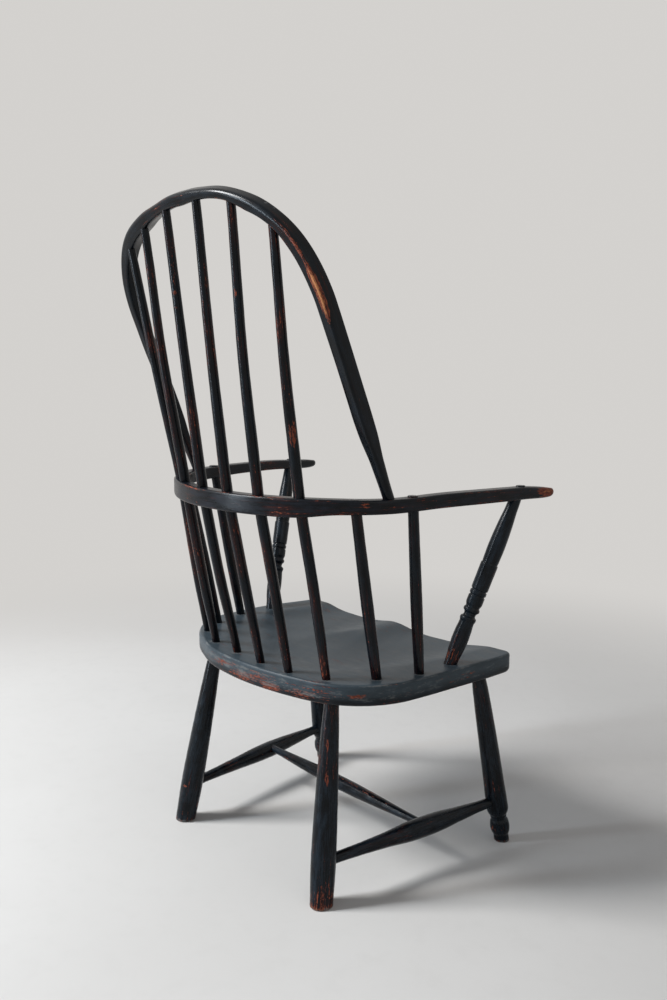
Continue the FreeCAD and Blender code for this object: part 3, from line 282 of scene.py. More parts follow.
def arm_thickness(x, y):
    """Thickness of the rail: the left arm is shaved a little thinner, and the right rear is fuller."""
    mean = monotone([(-300, 14.8), (-271, 15.9), (-196, 20), (105, 22.5), (185, 26), (250, 26)], y)
    shaved = 2.2 * (x > 0) * smoothstep(60, -60, y) * smoothstep(-262, -180, y)
    fuller = 4.4 * smoothstep(110, 175, y) * smoothstep(-225, -170, x)
    fuller += 0.9 * (x < 0) * smoothstep(40, -60, y)
    return mean - shaved + fuller


def arm_lift(x, y):
    """The old arm bow has warped: its arms swell up and then droop towards the tips."""
    left, right = smoothstep(60, 260, x), smoothstep(60, 260, -x)
    rise = left * (3.5 * smoothstep(160, -40, y) - 6.8 * smoothstep(-110, -270, y))
    return rise + right * (2.5 * smoothstep(60, -50, y) - 4.2 * smoothstep(-195, -268, y))


BOW_SPAN = arm_beside(BOW_FOOT_Y)[0]
BOW_TOP_R, BOW_CORNER_R, BOW_HEIGHT = 416.0, 161.0, 493.0
BOW_TOP_C = BOW_HEIGHT - BOW_TOP_R
BOW_CORNER_X = BOW_SPAN - BOW_CORNER_R
BOW_SPRING = BOW_TOP_C + math.sqrt((BOW_TOP_R - BOW_CORNER_R) ** 2 - BOW_CORNER_X ** 2)


def bow_warp(line):
    """How the old hoop departs from its mean: fuller on the right, drawn in on the left."""
    x, t = line[:, 0], line[:, 1]
    upper = smoothstep(100, 300, t)
    hub = vec(0, 250.0) * upper[:, None]
    beside = vec(0, 1.0) * (t * (1 - upper))[:, None]
    outward = unit(line - hub - beside + vec(1e-6, 0))
    right = 4.2 * smoothstep(5, 110, -x) * smoothstep(330, 430, t) - 1.6 * smoothstep(150, 215, -x)
    left = -1.2 - 4.6 * smoothstep(0, 90, x) - 0.6 * smoothstep(150, 215, x)
    moved = right + left * (x > -40) * smoothstep(-40, 5, x)
    return outward * moved[:, None] * smoothstep(200, 350, t)[:, None]


def bow_line(step=4.0):
    """Centre line of the back bow in its plane, from the right foot over to the left one."""
    turn = math.atan2(BOW_CORNER_X, BOW_SPRING - BOW_TOP_C)
    half = [(BOW_TOP_R * math.sin(a), BOW_TOP_C + BOW_TOP_R * math.cos(a))
            for a in np.arange(0, turn, step / BOW_TOP_R)]
    half += [(BOW_CORNER_X + BOW_CORNER_R * math.sin(a), BOW_SPRING + BOW_CORNER_R * math.cos(a))
             for a in np.arange(turn, math.pi / 2, step / BOW_CORNER_R)]
    half += [(BOW_SPAN, t) for t in np.arange(BOW_SPRING, -BOW_FOOT_DEPTH, -step)]
    half.append((BOW_SPAN, -BOW_FOOT_DEPTH))
    line = np.array([(-x, t) for x, t in reversed(half[1:])] + half)
    return line + bow_warp(line)


def bow_height_at(x):
    line = bow_line()
    upper = line[line[:, 1] > 250]
    order = np.argsort(upper[:, 0])
    return np.interp(x, upper[order, 0], upper[order, 1])


def bow_point(x, t):
    return vec(x, BOW_FOOT_Y, ARM_TOP) + BOW_UP * t


# Each long stick: number, seat point, x in the arm bow, x in the back bow, and how far the stick bends
# backwards above and below the arm bow
LONG_STICKS = (
    (1, (-172, 113), -164.5, -202, 2.6, -1.6), (2, (-105, 136), -98.5, -124.5, 3.0, -0.5),
    (3, (-34, 139), -34.6, -43, 1.7, 0.4), (4, (40, 134), 35.6, 44.5, 0.8, 2.2),
    (5, (115, 127), 118, 123.5, 4.0, 1.0), (6, (186, 97), 168.5, 188, 2.2, 0.8))
# Each short stick: seat point, y in the arm bow, and how far it stands above the arm bow
SHORT_STICKS = {"front": ((247.6, -22.2), 23.8, 2.0), "rear": ((223.0, 50.3), 111.3, 0.3)}
POST_SEAT = (245.6, -100.3)
POST_ARM_Y = {RIGHT: -199.8, LEFT: -196.2}
# Each leg: its place under the seat, and how far outward and backward its foot stands from there
LEGS = {"rear": ((166.9, 95.8), (32.1, 48.2)), "front": ((227.0, -193.9), (23.0, -55.1))}


# Paint

class Nodes:
    """Small shorthand for building a node tree."""

    def __init__(self, tree):
        self.tree = tree
        tree.nodes.clear()

    def add(self, kind, inputs=None, **settings):
        node = self.tree.nodes.new(kind)
        for key, value in settings.items():
            setattr(node, key, value)
        for key, value in (inputs or {}).items():
            if isinstance(value, bpy.types.NodeSocket):
                self.tree.links.new(value, node.inputs[key])
            else:
                node.inputs[key].default_value = value
        return node

    def math(self, operation, a, b=None, clamp=False):
        inputs = {0: a} if b is None else {0: a, 1: b}
        return self.add("ShaderNodeMath", inputs, operation=operation, use_clamp=clamp).outputs[0]

    def total(self, *terms):
        """Sum of values, each times its weight."""
        parts = [self.math("MULTIPLY", value, weight) for value, weight in terms]
        result = parts[0]
        for part in parts[1:]:
            result = self.math("ADD", result, part)
        return result

    def most(self, *values):
        result = values[0]
        for value in values[1:]:
            result = self.math("MAXIMUM", result, value)
        return result

    def about(self, value, middle=0.5):
        return self.math("SUBTRACT", value, middle)

    def ramp(self, value, low, high, out_low=0.0, out_high=1.0):
        inputs = {"Value": value, "From Min": low, "From Max": high, "To Min": out_low, "To Max": out_high}
        node = self.add("ShaderNodeMapRange", inputs, interpolation_type="SMOOTHSTEP", clamp=True)
        return node.outputs["Result"]

    def mix(self, factor, a, b):
        return self.add("ShaderNodeMix", {0: factor, 6: a, 7: b}, data_type="RGBA").outputs[2]

    def attribute(self, name):
        node = self.add("ShaderNodeAttribute", attribute_name=name, attribute_type="GEOMETRY")
        return node.outputs["Vector"]

    def position(self):
        return self.add("ShaderNodeTexCoord").outputs["Object"]

    def noise(self, vector, scale, detail, rough, stretch=None, distortion=0.0):
        if stretch is not None:
            vector = self.add("ShaderNodeMapping", {"Vector": vector, "Scale": stretch}).outputs[0]
        inputs = {"Vector": vector, "Scale": scale, "Detail": detail, "Roughness": rough,
                  "Distortion": distortion}
        return self.add("ShaderNodeTexNoise", inputs).outputs["Fac"]

    def length(self, vector):
        return self.add("ShaderNodeVectorMath", {0: vector}, operation="LENGTH").outputs["Value"]

    def ring(self, position, centre, radius, width):
        """1 on a thin ring mark about a place on the chair, fading out to both sides."""
        centre = [c * MM for c in centre]
        moved = self.add("ShaderNodeVectorMath", {0: position, 1: centre}, operation="SUBTRACT").outputs[0]
        off = self.math("ABSOLUTE", self.about(self.length(moved), radius * MM))
        return self.ramp(off, 0.0, width * MM, 1.0, 0.0)


def rgb(r, g, b):
    return (r, g, b, 1.0)


BLACK = rgb(0.0012, 0.0022, 0.0034)
THIN_BLACK = rgb(0.021, 0.0050, 0.0048)
RED_DARK, RED = rgb(0.050, 0.012, 0.008), rgb(0.27, 0.062, 0.028)
WOOD_DARK, WOOD = rgb(0.16, 0.050, 0.018), rgb(0.50, 0.205, 0.085)
DUST = rgb(0.125, 0.128, 0.126)
# The paler film on each kind of piece's black paint, and a painted highlight: the paler bluish grey of the
# seat's top, which stands in for the light and sky reflection on that upward face
STICK_FILM = BOW_FILM = rgb(0.0045, 0.0085, 0.0135)
# The turned pieces' film is paler than the others': partly the paint's own film, partly painted light that
# lifts the turned pieces, which get less lamp light
TURNED_FILM_AND_PAINTED_LIGHT = rgb(0.010, 0.0165, 0.024)
ARM_FILM = rgb(0.009, 0.011, 0.017)
SEAT_FILM = rgb(0.010, 0.015, 0.021)
PAINTED_HIGHLIGHT_GROUND, PAINTED_HIGHLIGHT_FILM = rgb(0.032, 0.044, 0.053), rgb(0.045, 0.062, 0.075)
# Heights in metres between which the seat turns from black to the painted highlight of its top
PAINTED_HIGHLIGHT_FROM, PAINTED_HIGHLIGHT_TO = 0.334, 0.352

# Two ring marks on the back bow's right shoulder, as (centre, radius)
RING_MARKS = (((-190, 246, 1080), 4.5), ((-203, 241, 1073), 3.5))
RING_WIDTH = 0.9

# How softly the red, the bare wood and the dust begin, and how dull the paint reflects
RED_SOFT, BARE_SOFT, DUST_SOFT = 0.05, 0.045, 0.12
PAINT_SPECULAR = 0.17
BUMP_STRENGTH, BUMP_DISTANCE = 0.5, 0.0005


def old_paint(name, film, roughness, red_need, bare_need, thin_need, dust_need=0.66, grain=1.0,
              marks=(), top_highlight_painted=False):
    """Old black paint over a red coat over wood. A coat shows where the wear passes its need."""
    material = bpy.data.materials.new(name)
    material.use_nodes = True
    n = Nodes(material.node_tree)
    flow = n.attribute("flow")
    worn = n.add("ShaderNodeSeparateXYZ", {0: n.attribute("worn")}).outputs
    position = n.position()
    # The noises on the flow are drawn out along the wood
    streaks = n.noise(flow, 300, 5, 0.6, stretch=(0.055, 1, 1))
    chips = n.noise(flow, 620, 6, 0.7, stretch=(0.25, 1, 1), distortion=0.4)
    patches = n.noise(position, 12, 3, 0.5)
    brushed = n.noise(flow, 1300, 3, 0.6, stretch=(0.014, 1, 1))
    pores = n.noise(flow, 3200, 2, 0.5, stretch=(0.03, 1, 1))
    cloud = n.noise(flow, 90, 5, 0.65, stretch=(0.3, 1, 1))

    broken = n.total((streaks, 0.5), (chips, 0.5), (n.about(patches), 0.28))
    red = n.ramp(n.math("ADD", broken, worn[0]), red_need, red_need + RED_SOFT)
    bare = n.ramp(n.math("ADD", broken, worn[1]), bare_need, bare_need + BARE_SOFT)
    scuffed = n.total((chips, 0.45), (cloud, 0.55))
    dust = n.ramp(n.math("ADD", scuffed, worn[2]), dust_need, dust_need + DUST_SOFT)
    for centre, radius in marks:
        dust = n.most(dust, n.total((n.ring(position, centre, radius, RING_WIDTH), 0.55)))

    veil = n.ramp(n.total((cloud, 0.6), (brushed, 0.4)), 0.40, 0.66)
    paint = n.mix(veil, BLACK, film)
    if top_highlight_painted:
        # Above these heights the seat's top is painted a paler bluish grey, a painted highlight for the
        # light on its upward face
        high = n.add("ShaderNodeSeparateXYZ", {0: position}).outputs[2]
        paint = n.mix(n.ramp(high, PAINTED_HIGHLIGHT_FROM, PAINTED_HIGHLIGHT_TO), paint, n.mix(veil, PAINTED_HIGHLIGHT_GROUND, PAINTED_HIGHLIGHT_FILM))
    thinned = n.ramp(n.total((streaks, 0.6), (patches, 0.4)), thin_need - 0.03, thin_need + 0.09)
    color = n.mix(n.total((thinned, 0.85)), paint, THIN_BLACK)
    color = n.mix(red, color, n.mix(n.ramp(chips, 0.38, 0.66), RED_DARK, RED))
    color = n.mix(bare, color, n.mix(n.ramp(brushed, 0.34, 0.66), WOOD_DARK, WOOD))
    color = n.mix(n.total((dust, 0.75)), color, DUST)

    dulled = n.total((n.about(cloud), 0.30), (n.about(brushed), 0.20), (red, 0.14),
                     (n.most(bare, dust), 0.20))
    rough = n.math("ADD", dulled, roughness, clamp=True)
    height = n.total((brushed, 0.45 * grain), (pores, 0.18 * grain), (cloud, 0.6 * grain),
                     (red, -0.35), (bare, -0.35))
    bump = n.add("ShaderNodeBump", {"Height": height, "Strength": BUMP_STRENGTH,
                                    "Distance": BUMP_DISTANCE})
    shader = n.add("ShaderNodeBsdfPrincipled", {"Base Color": color, "Roughness": rough,
                                                "Normal": bump.outputs[0]})
    shader.inputs["Specular IOR Level"].default_value = PAINT_SPECULAR
    n.add("ShaderNodeOutputMaterial", {0: shader.outputs[0]})
    return material


stick_paint = old_paint("stick_paint", STICK_FILM, roughness=0.24, red_need=0.60, bare_need=0.74,
                        thin_need=0.515, grain=0.7)
# The turned pieces' paint is partly painted light, through its paler film
turned_paint = old_paint("turned_paint", TURNED_FILM_AND_PAINTED_LIGHT, roughness=0.26, red_need=0.62, bare_need=0.74,
                         thin_need=0.56, grain=0.5)
bow_paint = old_paint("bow_paint", BOW_FILM, roughness=0.24, red_need=0.64, bare_need=0.73,
                      thin_need=0.57, grain=0.6, marks=RING_MARKS)
arm_paint = old_paint("arm_paint", ARM_FILM, roughness=0.30, red_need=0.60, bare_need=0.73, thin_need=0.53)
# The seat's paint carries the painted highlight on its top
seat_paint = old_paint("seat_paint", SEAT_FILM, roughness=0.38, red_need=0.63, bare_need=0.76,
                       thin_need=0.60, dust_need=0.69, grain=0.8, top_highlight_painted=True)

# Worn places by node: centre, radii, and the wear there as (black paint lost, red coat lost, dust)
WORN_PLACES = {
    "arm_bow": (
        ((-321, -250, 652), (16, 34, 14), (0.24, 0.17, 0)),
        ((-312, -212, 657), (9, 34, 5), (0.16, 0.12, 0)),
        ((-300, -165, 658), (10, 50, 5), (0.10, 0.05, 0)),
        ((-290, -110, 658), (8, 30, 4), (0.12, 0.08, 0)),
        ((-281, -37, 658), (8, 40, 4), (0.10, 0.06, 0)),
        ((-268, 28, 658), (8, 22, 5), (0.15, 0.14, 0)),
        ((-252, 109, 652), (14, 22, 10), (0.13, 0, 0)),
        ((30, 221, 656), (50, 8, 6), (0.11, 0.05, 0)),
        ((20, 219, 637), (60, 8, 5), (0.12, 0.08, 0)),
        ((-40, 217, 649), (220, 10, 14), (0.035, 0, 0.02)),
        ((0, 205, 660), (180, 22, 3), (0, 0, 0.05)),
    ),
    "long_stick_1": (
        ((-180, 188, 758), (9, 9, 34), (0.17, 0.05, 0)),
        ((-181, 200, 830), (10, 10, 90), (0.05, 0, 0)),
    ),
    "long_stick_2": (
        ((-119, 248, 962), (6, 6, 14), (0.18, 0.18, 0)),
        ((-116, 240, 930), (9, 9, 60), (0.06, 0, 0)),
    ),
    "long_stick_4": (
        ((37, 253, 972), (6, 6, 5), (0.20, 0.20, 0)),
        ((38, 251, 948), (6, 6, 4), (0.20, 0.20, 0)),
        ((38, 252, 1010), (9, 9, 50), (0.08, 0, 0)),
    ),
    "leg_rear_right": (
        ((-184, 119, 265), (5, 5, 40), (0.15, 0.08, 0)),
        ((-192, 128, 210), (6, 6, 42), (0.16, 0.09, 0)),
        ((-209, 150, 50), (22, 22, 42), (0.05, 0, 0.02)),
    ),
    "leg_rear_left": (
        ((185, 153, 72), (6, 6, 5), (0.20, 0.18, 0.10)),
    ),
    "stretcher_cross": (
        ((-60, -71, 90), (105, 18, 18), (0.12, 0.02, 0.03)),
    ),
    "seat": (
        ((-20, 163, 340), (52, 9, 12), (0.13, 0.02, 0.06)),
        ((-82, 157, 338), (40, 9, 11), (0.17, 0.05, 0.07)),
        ((50, 160, 348), (50, 9, 10), (0.10, 0, 0.06)),
        ((-150, 144, 338), (60, 14, 12), (0.08, 0, 0.09)),
        ((-228, 98, 346), (22, 22, 7), (0.13, 0, 0.05)),
        ((-20, 160, 357), (190, 12, 7), (0.02, 0, 0.09)),
    ),
}


# Seat

SEAT_HALF_WIDTH, SEAT_WIDEST_Y, SEAT_SIDE_R = 271.0, -90.0, 1100.0
SEAT_REAR_Y, SEAT_REAR_R, SEAT_CORNER_R = 163.0, 580.0, 145.0
SEAT_FRONT_Y, SEAT_FRONT_R = -220.0, 18.0


def arc(centre, radius, a, b, step=2.0):
    """Points on a circle from the direction of a to the direction of b."""
    t0 = math.atan2(a[1] - centre[1], a[0] - centre[0])
    t1 = math.atan2(b[1] - centre[1], b[0] - centre[0])
    count = max(3, int(abs(t1 - t0) * radius / step))
    return [centre + radius * vec(math.cos(t), math.sin(t)) for t in np.linspace(t0, t1, count)]


def seat_outline(count=420):
    """Plan of the seat from the middle of the back round by the sitter's left, as evenly spaced points."""
    rear_c = vec(0, SEAT_REAR_Y - SEAT_REAR_R)
    side_c = vec(SEAT_HALF_WIDTH - SEAT_SIDE_R, SEAT_WIDEST_Y)
    apart = np.linalg.norm(side_c - rear_c)
    way = (side_c - rear_c) / apart
    r1, r2 = SEAT_REAR_R - SEAT_CORNER_R, SEAT_SIDE_R - SEAT_CORNER_R
    along = (apart ** 2 + r1 ** 2 - r2 ** 2) / (2 * apart)
    aside = vec(-way[1], way[0]) * math.sqrt(r1 ** 2 - along ** 2)
    corner_c = max(rear_c + way * along + aside, rear_c + way * along - aside, key=lambda p: p[0])
    rear_touch = rear_c + unit(corner_c - rear_c) * SEAT_REAR_R
    side_touch = side_c + unit(corner_c - side_c) * SEAT_SIDE_R
    front_cy = SEAT_FRONT_Y + SEAT_FRONT_R
    front_cx = side_c[0] + math.sqrt((SEAT_SIDE_R - SEAT_FRONT_R) ** 2 - (front_cy - SEAT_WIDEST_Y) ** 2)
    front_c = vec(front_cx, front_cy)
    front_touch = side_c + unit(front_c - side_c) * SEAT_SIDE_R

    half = arc(rear_c, SEAT_REAR_R, vec(0, SEAT_REAR_Y), rear_touch)
    half += arc(corner_c, SEAT_CORNER_R, rear_touch, side_touch)[1:]
    half += arc(side_c, SEAT_SIDE_R, side_touch, front_touch)[1:]
    half += arc(front_c, SEAT_FRONT_R, front_touch, vec(front_cx, SEAT_FRONT_Y), 1.2)[1:]
    half += [vec(x, SEAT_FRONT_Y) for x in np.linspace(front_cx, 0, 90)[1:]]
    half = np.array(half)
    closed = np.vstack([half, half[::-1][1:-1] * vec(-1, 1), half[:1]])
    run = run_along(closed)
    target = np.linspace(0, run[-1], count, endpoint=False)
    return np.stack([np.interp(target, run, closed[:, 0]), np.interp(target, run, closed[:, 1])], -1)


# Hollows of the saddled seat as (centre x, centre y, half width, half length, depth)
THIGHS_AND_BOWL = ((-112, -160, 110, 270, 8.6), (112, -160, 110, 270, 8.6), (0, 5, 220, 132, 7.8))


def saddle(x, y):
    """Depth of the hollowed seat below its flat rim: two thighs and a bowl, run together softly."""
    total = np.zeros_like(x)
    for cx, cy, rx, ry, deep in THIGHS_AND_BOWL:
        inside = np.clip(1 - ((x - cx) / rx) ** 2 - ((y - cy) / ry) ** 2, 0, None)
        total += (deep * smoothstep(0, 1, inside)) ** 3
    return np.cbrt(total)


def seat_warp(points):
    """The old plank is fuller at its right front corner and drawn in at the two left corners."""
    x, y = points[..., 0], points[..., 1]
    right_front = smoothstep(-60, -225, y) * smoothstep(-60, -260, x)
    right_side = smoothstep(-120, -260, x) * smoothstep(60, -60, y)
    left_front = smoothstep(-80, -210, y) * smoothstep(60, 250, x)
    left_rear = smoothstep(70, 190, x) * smoothstep(20, 120, y)
    moved = points.copy()
    moved[..., 0] = x - 8.5 * right_front - 2.5 * right_side - 15.0 * left_front - 9.3 * left_rear
    moved[..., 1] = y - 13.0 * right_front - 9.5 * left_rear
    return moved


SEAT_HUB = vec(0, -25)
SEAT_ARRIS_R = 4.5
# The seat's top and bottom faces reach to this distance from its edge before they round over
SEAT_RIM = 6
# Rings over the top, round its arris, down the side, round the lower arris and underneath
TOP_RINGS, ARRIS_RINGS, SIDE_RINGS, LOWER_RINGS, UNDER_RINGS = 90, 8, 7, 9, 24
TOP_EDGE_WEAR, SIDE_WEAR = vec(0.03, 0.0, 0.22), vec(0.05, 0.01, 0.18)
UNDER_EDGE_WEAR = vec(0.07, 0.03, 0.13)


def make_seat():
    """Plank with a small round on its top arris and a larger one below, flat underneath."""
    outline = seat_outline()
    count = len(outline)
    normal = unit(np.roll(outline, -1, 0) - np.roll(outline, 1, 0)) @ np.array([[0, 1], [-1, 0]])
    outward = np.where((np.sum(normal * (outline - SEAT_HUB), 1) > 0)[:, None], normal, -normal)
    under_r = 10.0 - 3.5 * smoothstep(-60, 60, outline[:, 1])
    under_r += 3.0 * smoothstep(-20, 80, outline[:, 0]) * smoothstep(60, 120, outline[:, 1])
    around = run_along(outline)
    rings, worn, flows = [], [], []

    def add(plan, z, wear, on_edge=True):
        rings.append(np.column_stack([seat_warp(plan), np.broadcast_to(z, count)]))
        worn.append(np.broadcast_to(wear, (count, 3)))
        flows.append(np.column_stack([around, rings[-1][:, 2], 0 * around]) if on_edge else rings[-1])

    def shrunk(factor):
        return SEAT_HUB + (outline - outward * SEAT_RIM - SEAT_HUB) * factor

    for factor in np.concatenate([[0.004], np.linspace(0.02, 1.0, TOP_RINGS)]):
        plan = shrunk(factor)
        add(plan, SEAT_TOP - saddle(plan[:, 0], plan[:, 1]), NO_WEAR, on_edge=False)
    for a in np.linspace(0, math.pi / 2, ARRIS_RINGS)[1:]:
        plan = outline - outward * (SEAT_ARRIS_R * (1 - math.sin(a)))
        dip = saddle(plan[:, 0], plan[:, 1])
        add(plan, SEAT_TOP - dip - SEAT_ARRIS_R * (1 - math.cos(a)), TOP_EDGE_WEAR * math.sin(2 * a))
    side_top = rings[-1][:, 2]
    for share in np.linspace(0, 1, SIDE_RINGS)[1:-1]:
        add(outline, side_top + share * (SEAT_UNDER + under_r - side_top), SIDE_WEAR)
    for a in np.linspace(math.pi / 2, 0, LOWER_RINGS):
        plan = outline - outward * (under_r * (1 - math.sin(a)))[:, None]
        add(plan, SEAT_UNDER + under_r * (1 - math.cos(a)), UNDER_EDGE_WEAR * math.sin(2 * a))
    for factor in np.linspace(0.94, 0.01, UNDER_RINGS):
        add(shrunk(factor), SEAT_UNDER, NO_WEAR, on_edge=False)
    rings = np.array(rings)
    planed = 0.3 * wave(5, rings[..., 0] + rings[..., 1] * 0.4, 130)
    rings[..., 2] += planed * (rings[..., 2] > SEAT_UNDER + 12)
    rings = rings[::-1]
    worn = np.array(worn)[::-1] + collars(rings)
    skin("seat_plank", "seat", rings, flows[::-1], worn, seat_paint)


# Distances from a stick's middle at which the dust round its foot begins and is full
COLLAR_REACH, COLLAR_FULL = 20, 10
COLLAR_WEAR = vec(0, 0, 0.25)


def collars(points):
    """Dust that gathers on the seat round the foot of every stick and post."""
    feet = [seat for _, seat, *_ in LONG_STICKS]
    for x, y in [seat for seat, *_ in SHORT_STICKS.values()] + [POST_SEAT]:
        feet += [(-x, y), (x, y)]
    gather = np.zeros(points.shape[:2])
    for foot in feet:
        reach = np.linalg.norm(points[..., :2] - vec(*foot), axis=-1)
        gather = np.maximum(gather, smoothstep(COLLAR_REACH, COLLAR_FULL, reach))
    gather = gather * (points[..., 2] > SEAT_UNDER + 20)
    return gather[..., None] * COLLAR_WEAR


# Arm bow

# Length over which an arm's tip is blunted, its least share of the thickness, and its drop
TIP_REACH, TIP_THIN, TIP_DROP = 36, 0.42, 3.0
ARM_EDGE_WEAR = vec(0.045, 0.02, 0.0)


def arm_line(step=4.0):
    """Centre line of the arm bow in plan, from the right tip round the back to the left one."""
    run = (ARM_START[1] - ARM_NOSE_Y) / -ARM_ALONG[1]
    corner_from = math.pi / 2 - ARM_TURN
    half = [ARM_REAR_C + ARM_R * vec(math.cos(a), math.sin(a))
            for a in np.arange(math.pi / 2, corner_from, -step / ARM_R)]
    half += [ARM_CORNER_C + ARM_CORNER_R * vec(math.cos(a), math.sin(a))
             for a in np.arange(corner_from, ARM_SPLAY, -step / ARM_CORNER_R)]
    half += [ARM_START + ARM_ALONG * d for d in np.arange(0, run, step)]
    half.append(ARM_START + ARM_ALONG * run)
    half += [ARM_START + ARM_ALONG * (run + ARM_HALF_W * math.sin(a) * 0.999)
             for a in np.linspace(0, math.pi / 2, 9)[1:]]
    half = np.array(half)
    return np.vstack([half[::-1] * vec(-1, 1), half[1:]])


def make_arm_bow():
    """Rail of changing thickness with softened arrises, a faint crown on its faces and rounded tips."""
    plan = arm_line()
    points = np.column_stack([plan, np.zeros(len(plan))])
    across, _ = cross_frames(points, UP)
    run = run_along(points)
    rings, flows, edges = [], [], []
    for i, point in enumerate(points):
        nose = min(run[i], run[-1] - run[i])
        half_w = ARM_HALF_W * math.sqrt(max(0.0, 1 - (1 - min(nose, ARM_HALF_W) / ARM_HALF_W) ** 2))
        half_w = max(half_w + 0.25 * wave(11, run[i], 160) - 0.3, 0.5)
        blunt = max(0.0, 1 - nose / TIP_REACH)
        thin = TIP_THIN + (1 - TIP_THIN) * math.sqrt(1 - blunt ** 2)
        half_t = arm_thickness(point[0], point[1]) * thin / 2
        section, edge = rounded_section(half_w, half_t, 4.0 + 2.5 * smoothstep(120, 20, nose))
        top = ARM_TOP + arm_lift(point[0], point[1]) + 0.2 * wave(12, run[i], 210)
        top -= TIP_DROP * blunt ** 2
        crown = 0.35 * (1 - (section[:, 0] / max(half_w, 1)) ** 2) * np.sign(section[:, 1])
        height = section[:, 1] + crown * 0.5 + top - half_t
        rings.append(point + across[i] * section[:, :1] + UP * height[:, None])
        flows.append(np.column_stack([np.full(len(section), run[i]), section]))
        edges.append(edge)
    worn = np.array(edges)[..., None] * ARM_EDGE_WEAR
    skin("arm_rail", "arm_bow", rings, flows, worn, arm_paint)


# Back bow. A distance t is measured up the bow's own leaning plane, from the arm bow's top.

# How much thicker or thinner the bow is on its inside, by t in its right leg and by x in its crown
INNER_LEG = [(-20, 0.5), (20, 1.3), (120, 1.7), (170, 1), (240, 0.5), (350, 0.3), (440, 0), (600, 0)]
INNER_CROWN = [(-300, -3.4), (-225, -3.4), (-195, -1.6), (-165, -0.6), (-145, -3), (-118, -5.4),
               (-85, -4.3), (-60, -2.6), (-30, 0), (0, 1.7), (20, 1.7), (50, 0.4), (75, 0), (100, 1.2),
               (130, 3.6), (300, 3.6)]
# The bow's grain starts here, away from the arm bow's
BOW_FLOW_FROM = 3000


def bow_section(x, t, wobble):
    """Outer, inner, rear and front half thickness of the hoop at x, t, and its four corner radii."""
    on_right, on_left = smoothstep(20, -60, x), smoothstep(-20, 60, x)
    above_foot = smoothstep(60, 150, t)
    leg = above_foot * smoothstep(440, 340, t)
    crown = smoothstep(400, 455, t)
    shoulder = smoothstep(10, 90, x) * smoothstep(330, 400, t)
    half_w = monotone([(-20, 8.5), (12, 8.5), (60, 8.7), (112, 9.25), (600, 9.25)], t)
    half_d = monotone([(-20, 8.5), (12, 8.5), (60, 8.8), (112, 10.5), (600, 10.5)], t)
    fuller = smoothstep(-50, -130, x) * (0.9 + 1.0 * smoothstep(200, 300, t))
    fuller += 1.4 * (smoothstep(50, 110, x) * smoothstep(380, 430, t))
    fuller -= 0.5 * crown * smoothstep(110, 50, abs(x))
    outer = half_w + fuller * above_foot + wobble
    inner = half_w + monotone(INNER_LEG, t) * on_right - 0.6 * leg * on_left
    inner += crown * monotone(INNER_CROWN, x)
    rear = half_d + 3.0 * leg * on_right - 3.5 * above_foot * smoothstep(465, 400, t) * on_left
    rear += 1.2 * on_left * (smoothstep(200, 260, t) * smoothstep(430, 370, t))
    front = half_d - 0.5 * crown * on_right + 3.2 * shoulder
    lower = smoothstep(60, 140, t) * smoothstep(320, 240, t)
    front += on_left * 1.8 * (smoothstep(90, 180, t) + lower)
    foot_r = monotone([(-20, 8.4), (12, 8.4), (60, 6.2), (112, 4.0), (600, 4.0)], t)
    radii = vec(4.0 + 3.6 * crown, 3.8 + 1.6 * crown + 3.6 * crown * on_left, 3.8 - 2.0 * shoulder, 2.2)
    return outer, inner, rear, front, foot_r + (radii - foot_r) * above_foot


def bow_wear(x, t, section, edge, outer, inner, rear):
    """Long rub on the right leg's rear outer arris, thin wear on the inner one, scratches above."""
    right_leg = float(x < 0)
    off_outer = np.linalg.norm(section - vec(outer - 4, rear - 1), axis=1)
    off_inner = np.linalg.norm(section - vec(-inner + 1, rear - 1), axis=1)
    strong = smoothstep(286, 306, t) * smoothstep(376, 350, t)
    thin = smoothstep(268, 290, t) * smoothstep(430, 395, t)
    low = smoothstep(60, 140, t) * smoothstep(300, 220, t)
    rub = right_leg * 0.185 * strong * np.exp(-(off_outer / 5.5) ** 2)
    rub += right_leg * 0.13 * thin * np.exp(-(off_outer / 4.0) ** 2)
    line_rub = right_leg * (0.06 + 0.05 * low) * np.exp(-(off_inner / 4.0) ** 2)
    scratched = right_leg * smoothstep(400, 440, t) * (section[:, 0] > outer - 3)
    red = rub * 1.15 + line_rub + 0.03 * edge * smoothstep(20, 110, t)
    return np.stack([red, rub + 0.3 * line_rub, 0.05 * scratched], -1)


def make_back_bow():
    """Hoop whose section changes on its way: slight at the crown, full in the right leg."""
    line = bow_line()
    points = np.array([bow_point(x, t) for x, t in line])
    across, _ = cross_frames(points, BOW_BACK)
    run = run_along(points)
    rings, flows, worn = [], [], []
    for i, point in enumerate(points):
        x, t = line[i]
        outer, inner, rear, front, radii = bow_section(x, t, 0.15 * wave(21, run[i], 190))
        section, edge = rounded_section((outer + inner) / 2, (rear + front) / 2, radii)
        section = section + vec((outer - inner) / 2, (rear - front) / 2)
        rings.append(point + across[i] * section[:, :1] + BOW_BACK * section[:, 1:2])
        flows.append(np.column_stack([np.full(len(section), run[i] + BOW_FLOW_FROM), section]))
        worn.append(bow_wear(x, t, section, edge, outer, inner, rear))
    skin("back_hoop", "back_bow", rings, flows, np.array(worn), bow_paint)


# Sticks

# The sticks bend backwards and to the left, across the photo's line of sight
BEND_WAY = vec(0.66, 0.75, 0)
# A long stick turns softly over this distance to both sides of the arm bow's top
TURN_REACH = 45
LONG_STICK_AROUND = 28
# Distance between the grains of two long sticks
LONG_STICK_FLOW_APART = 731


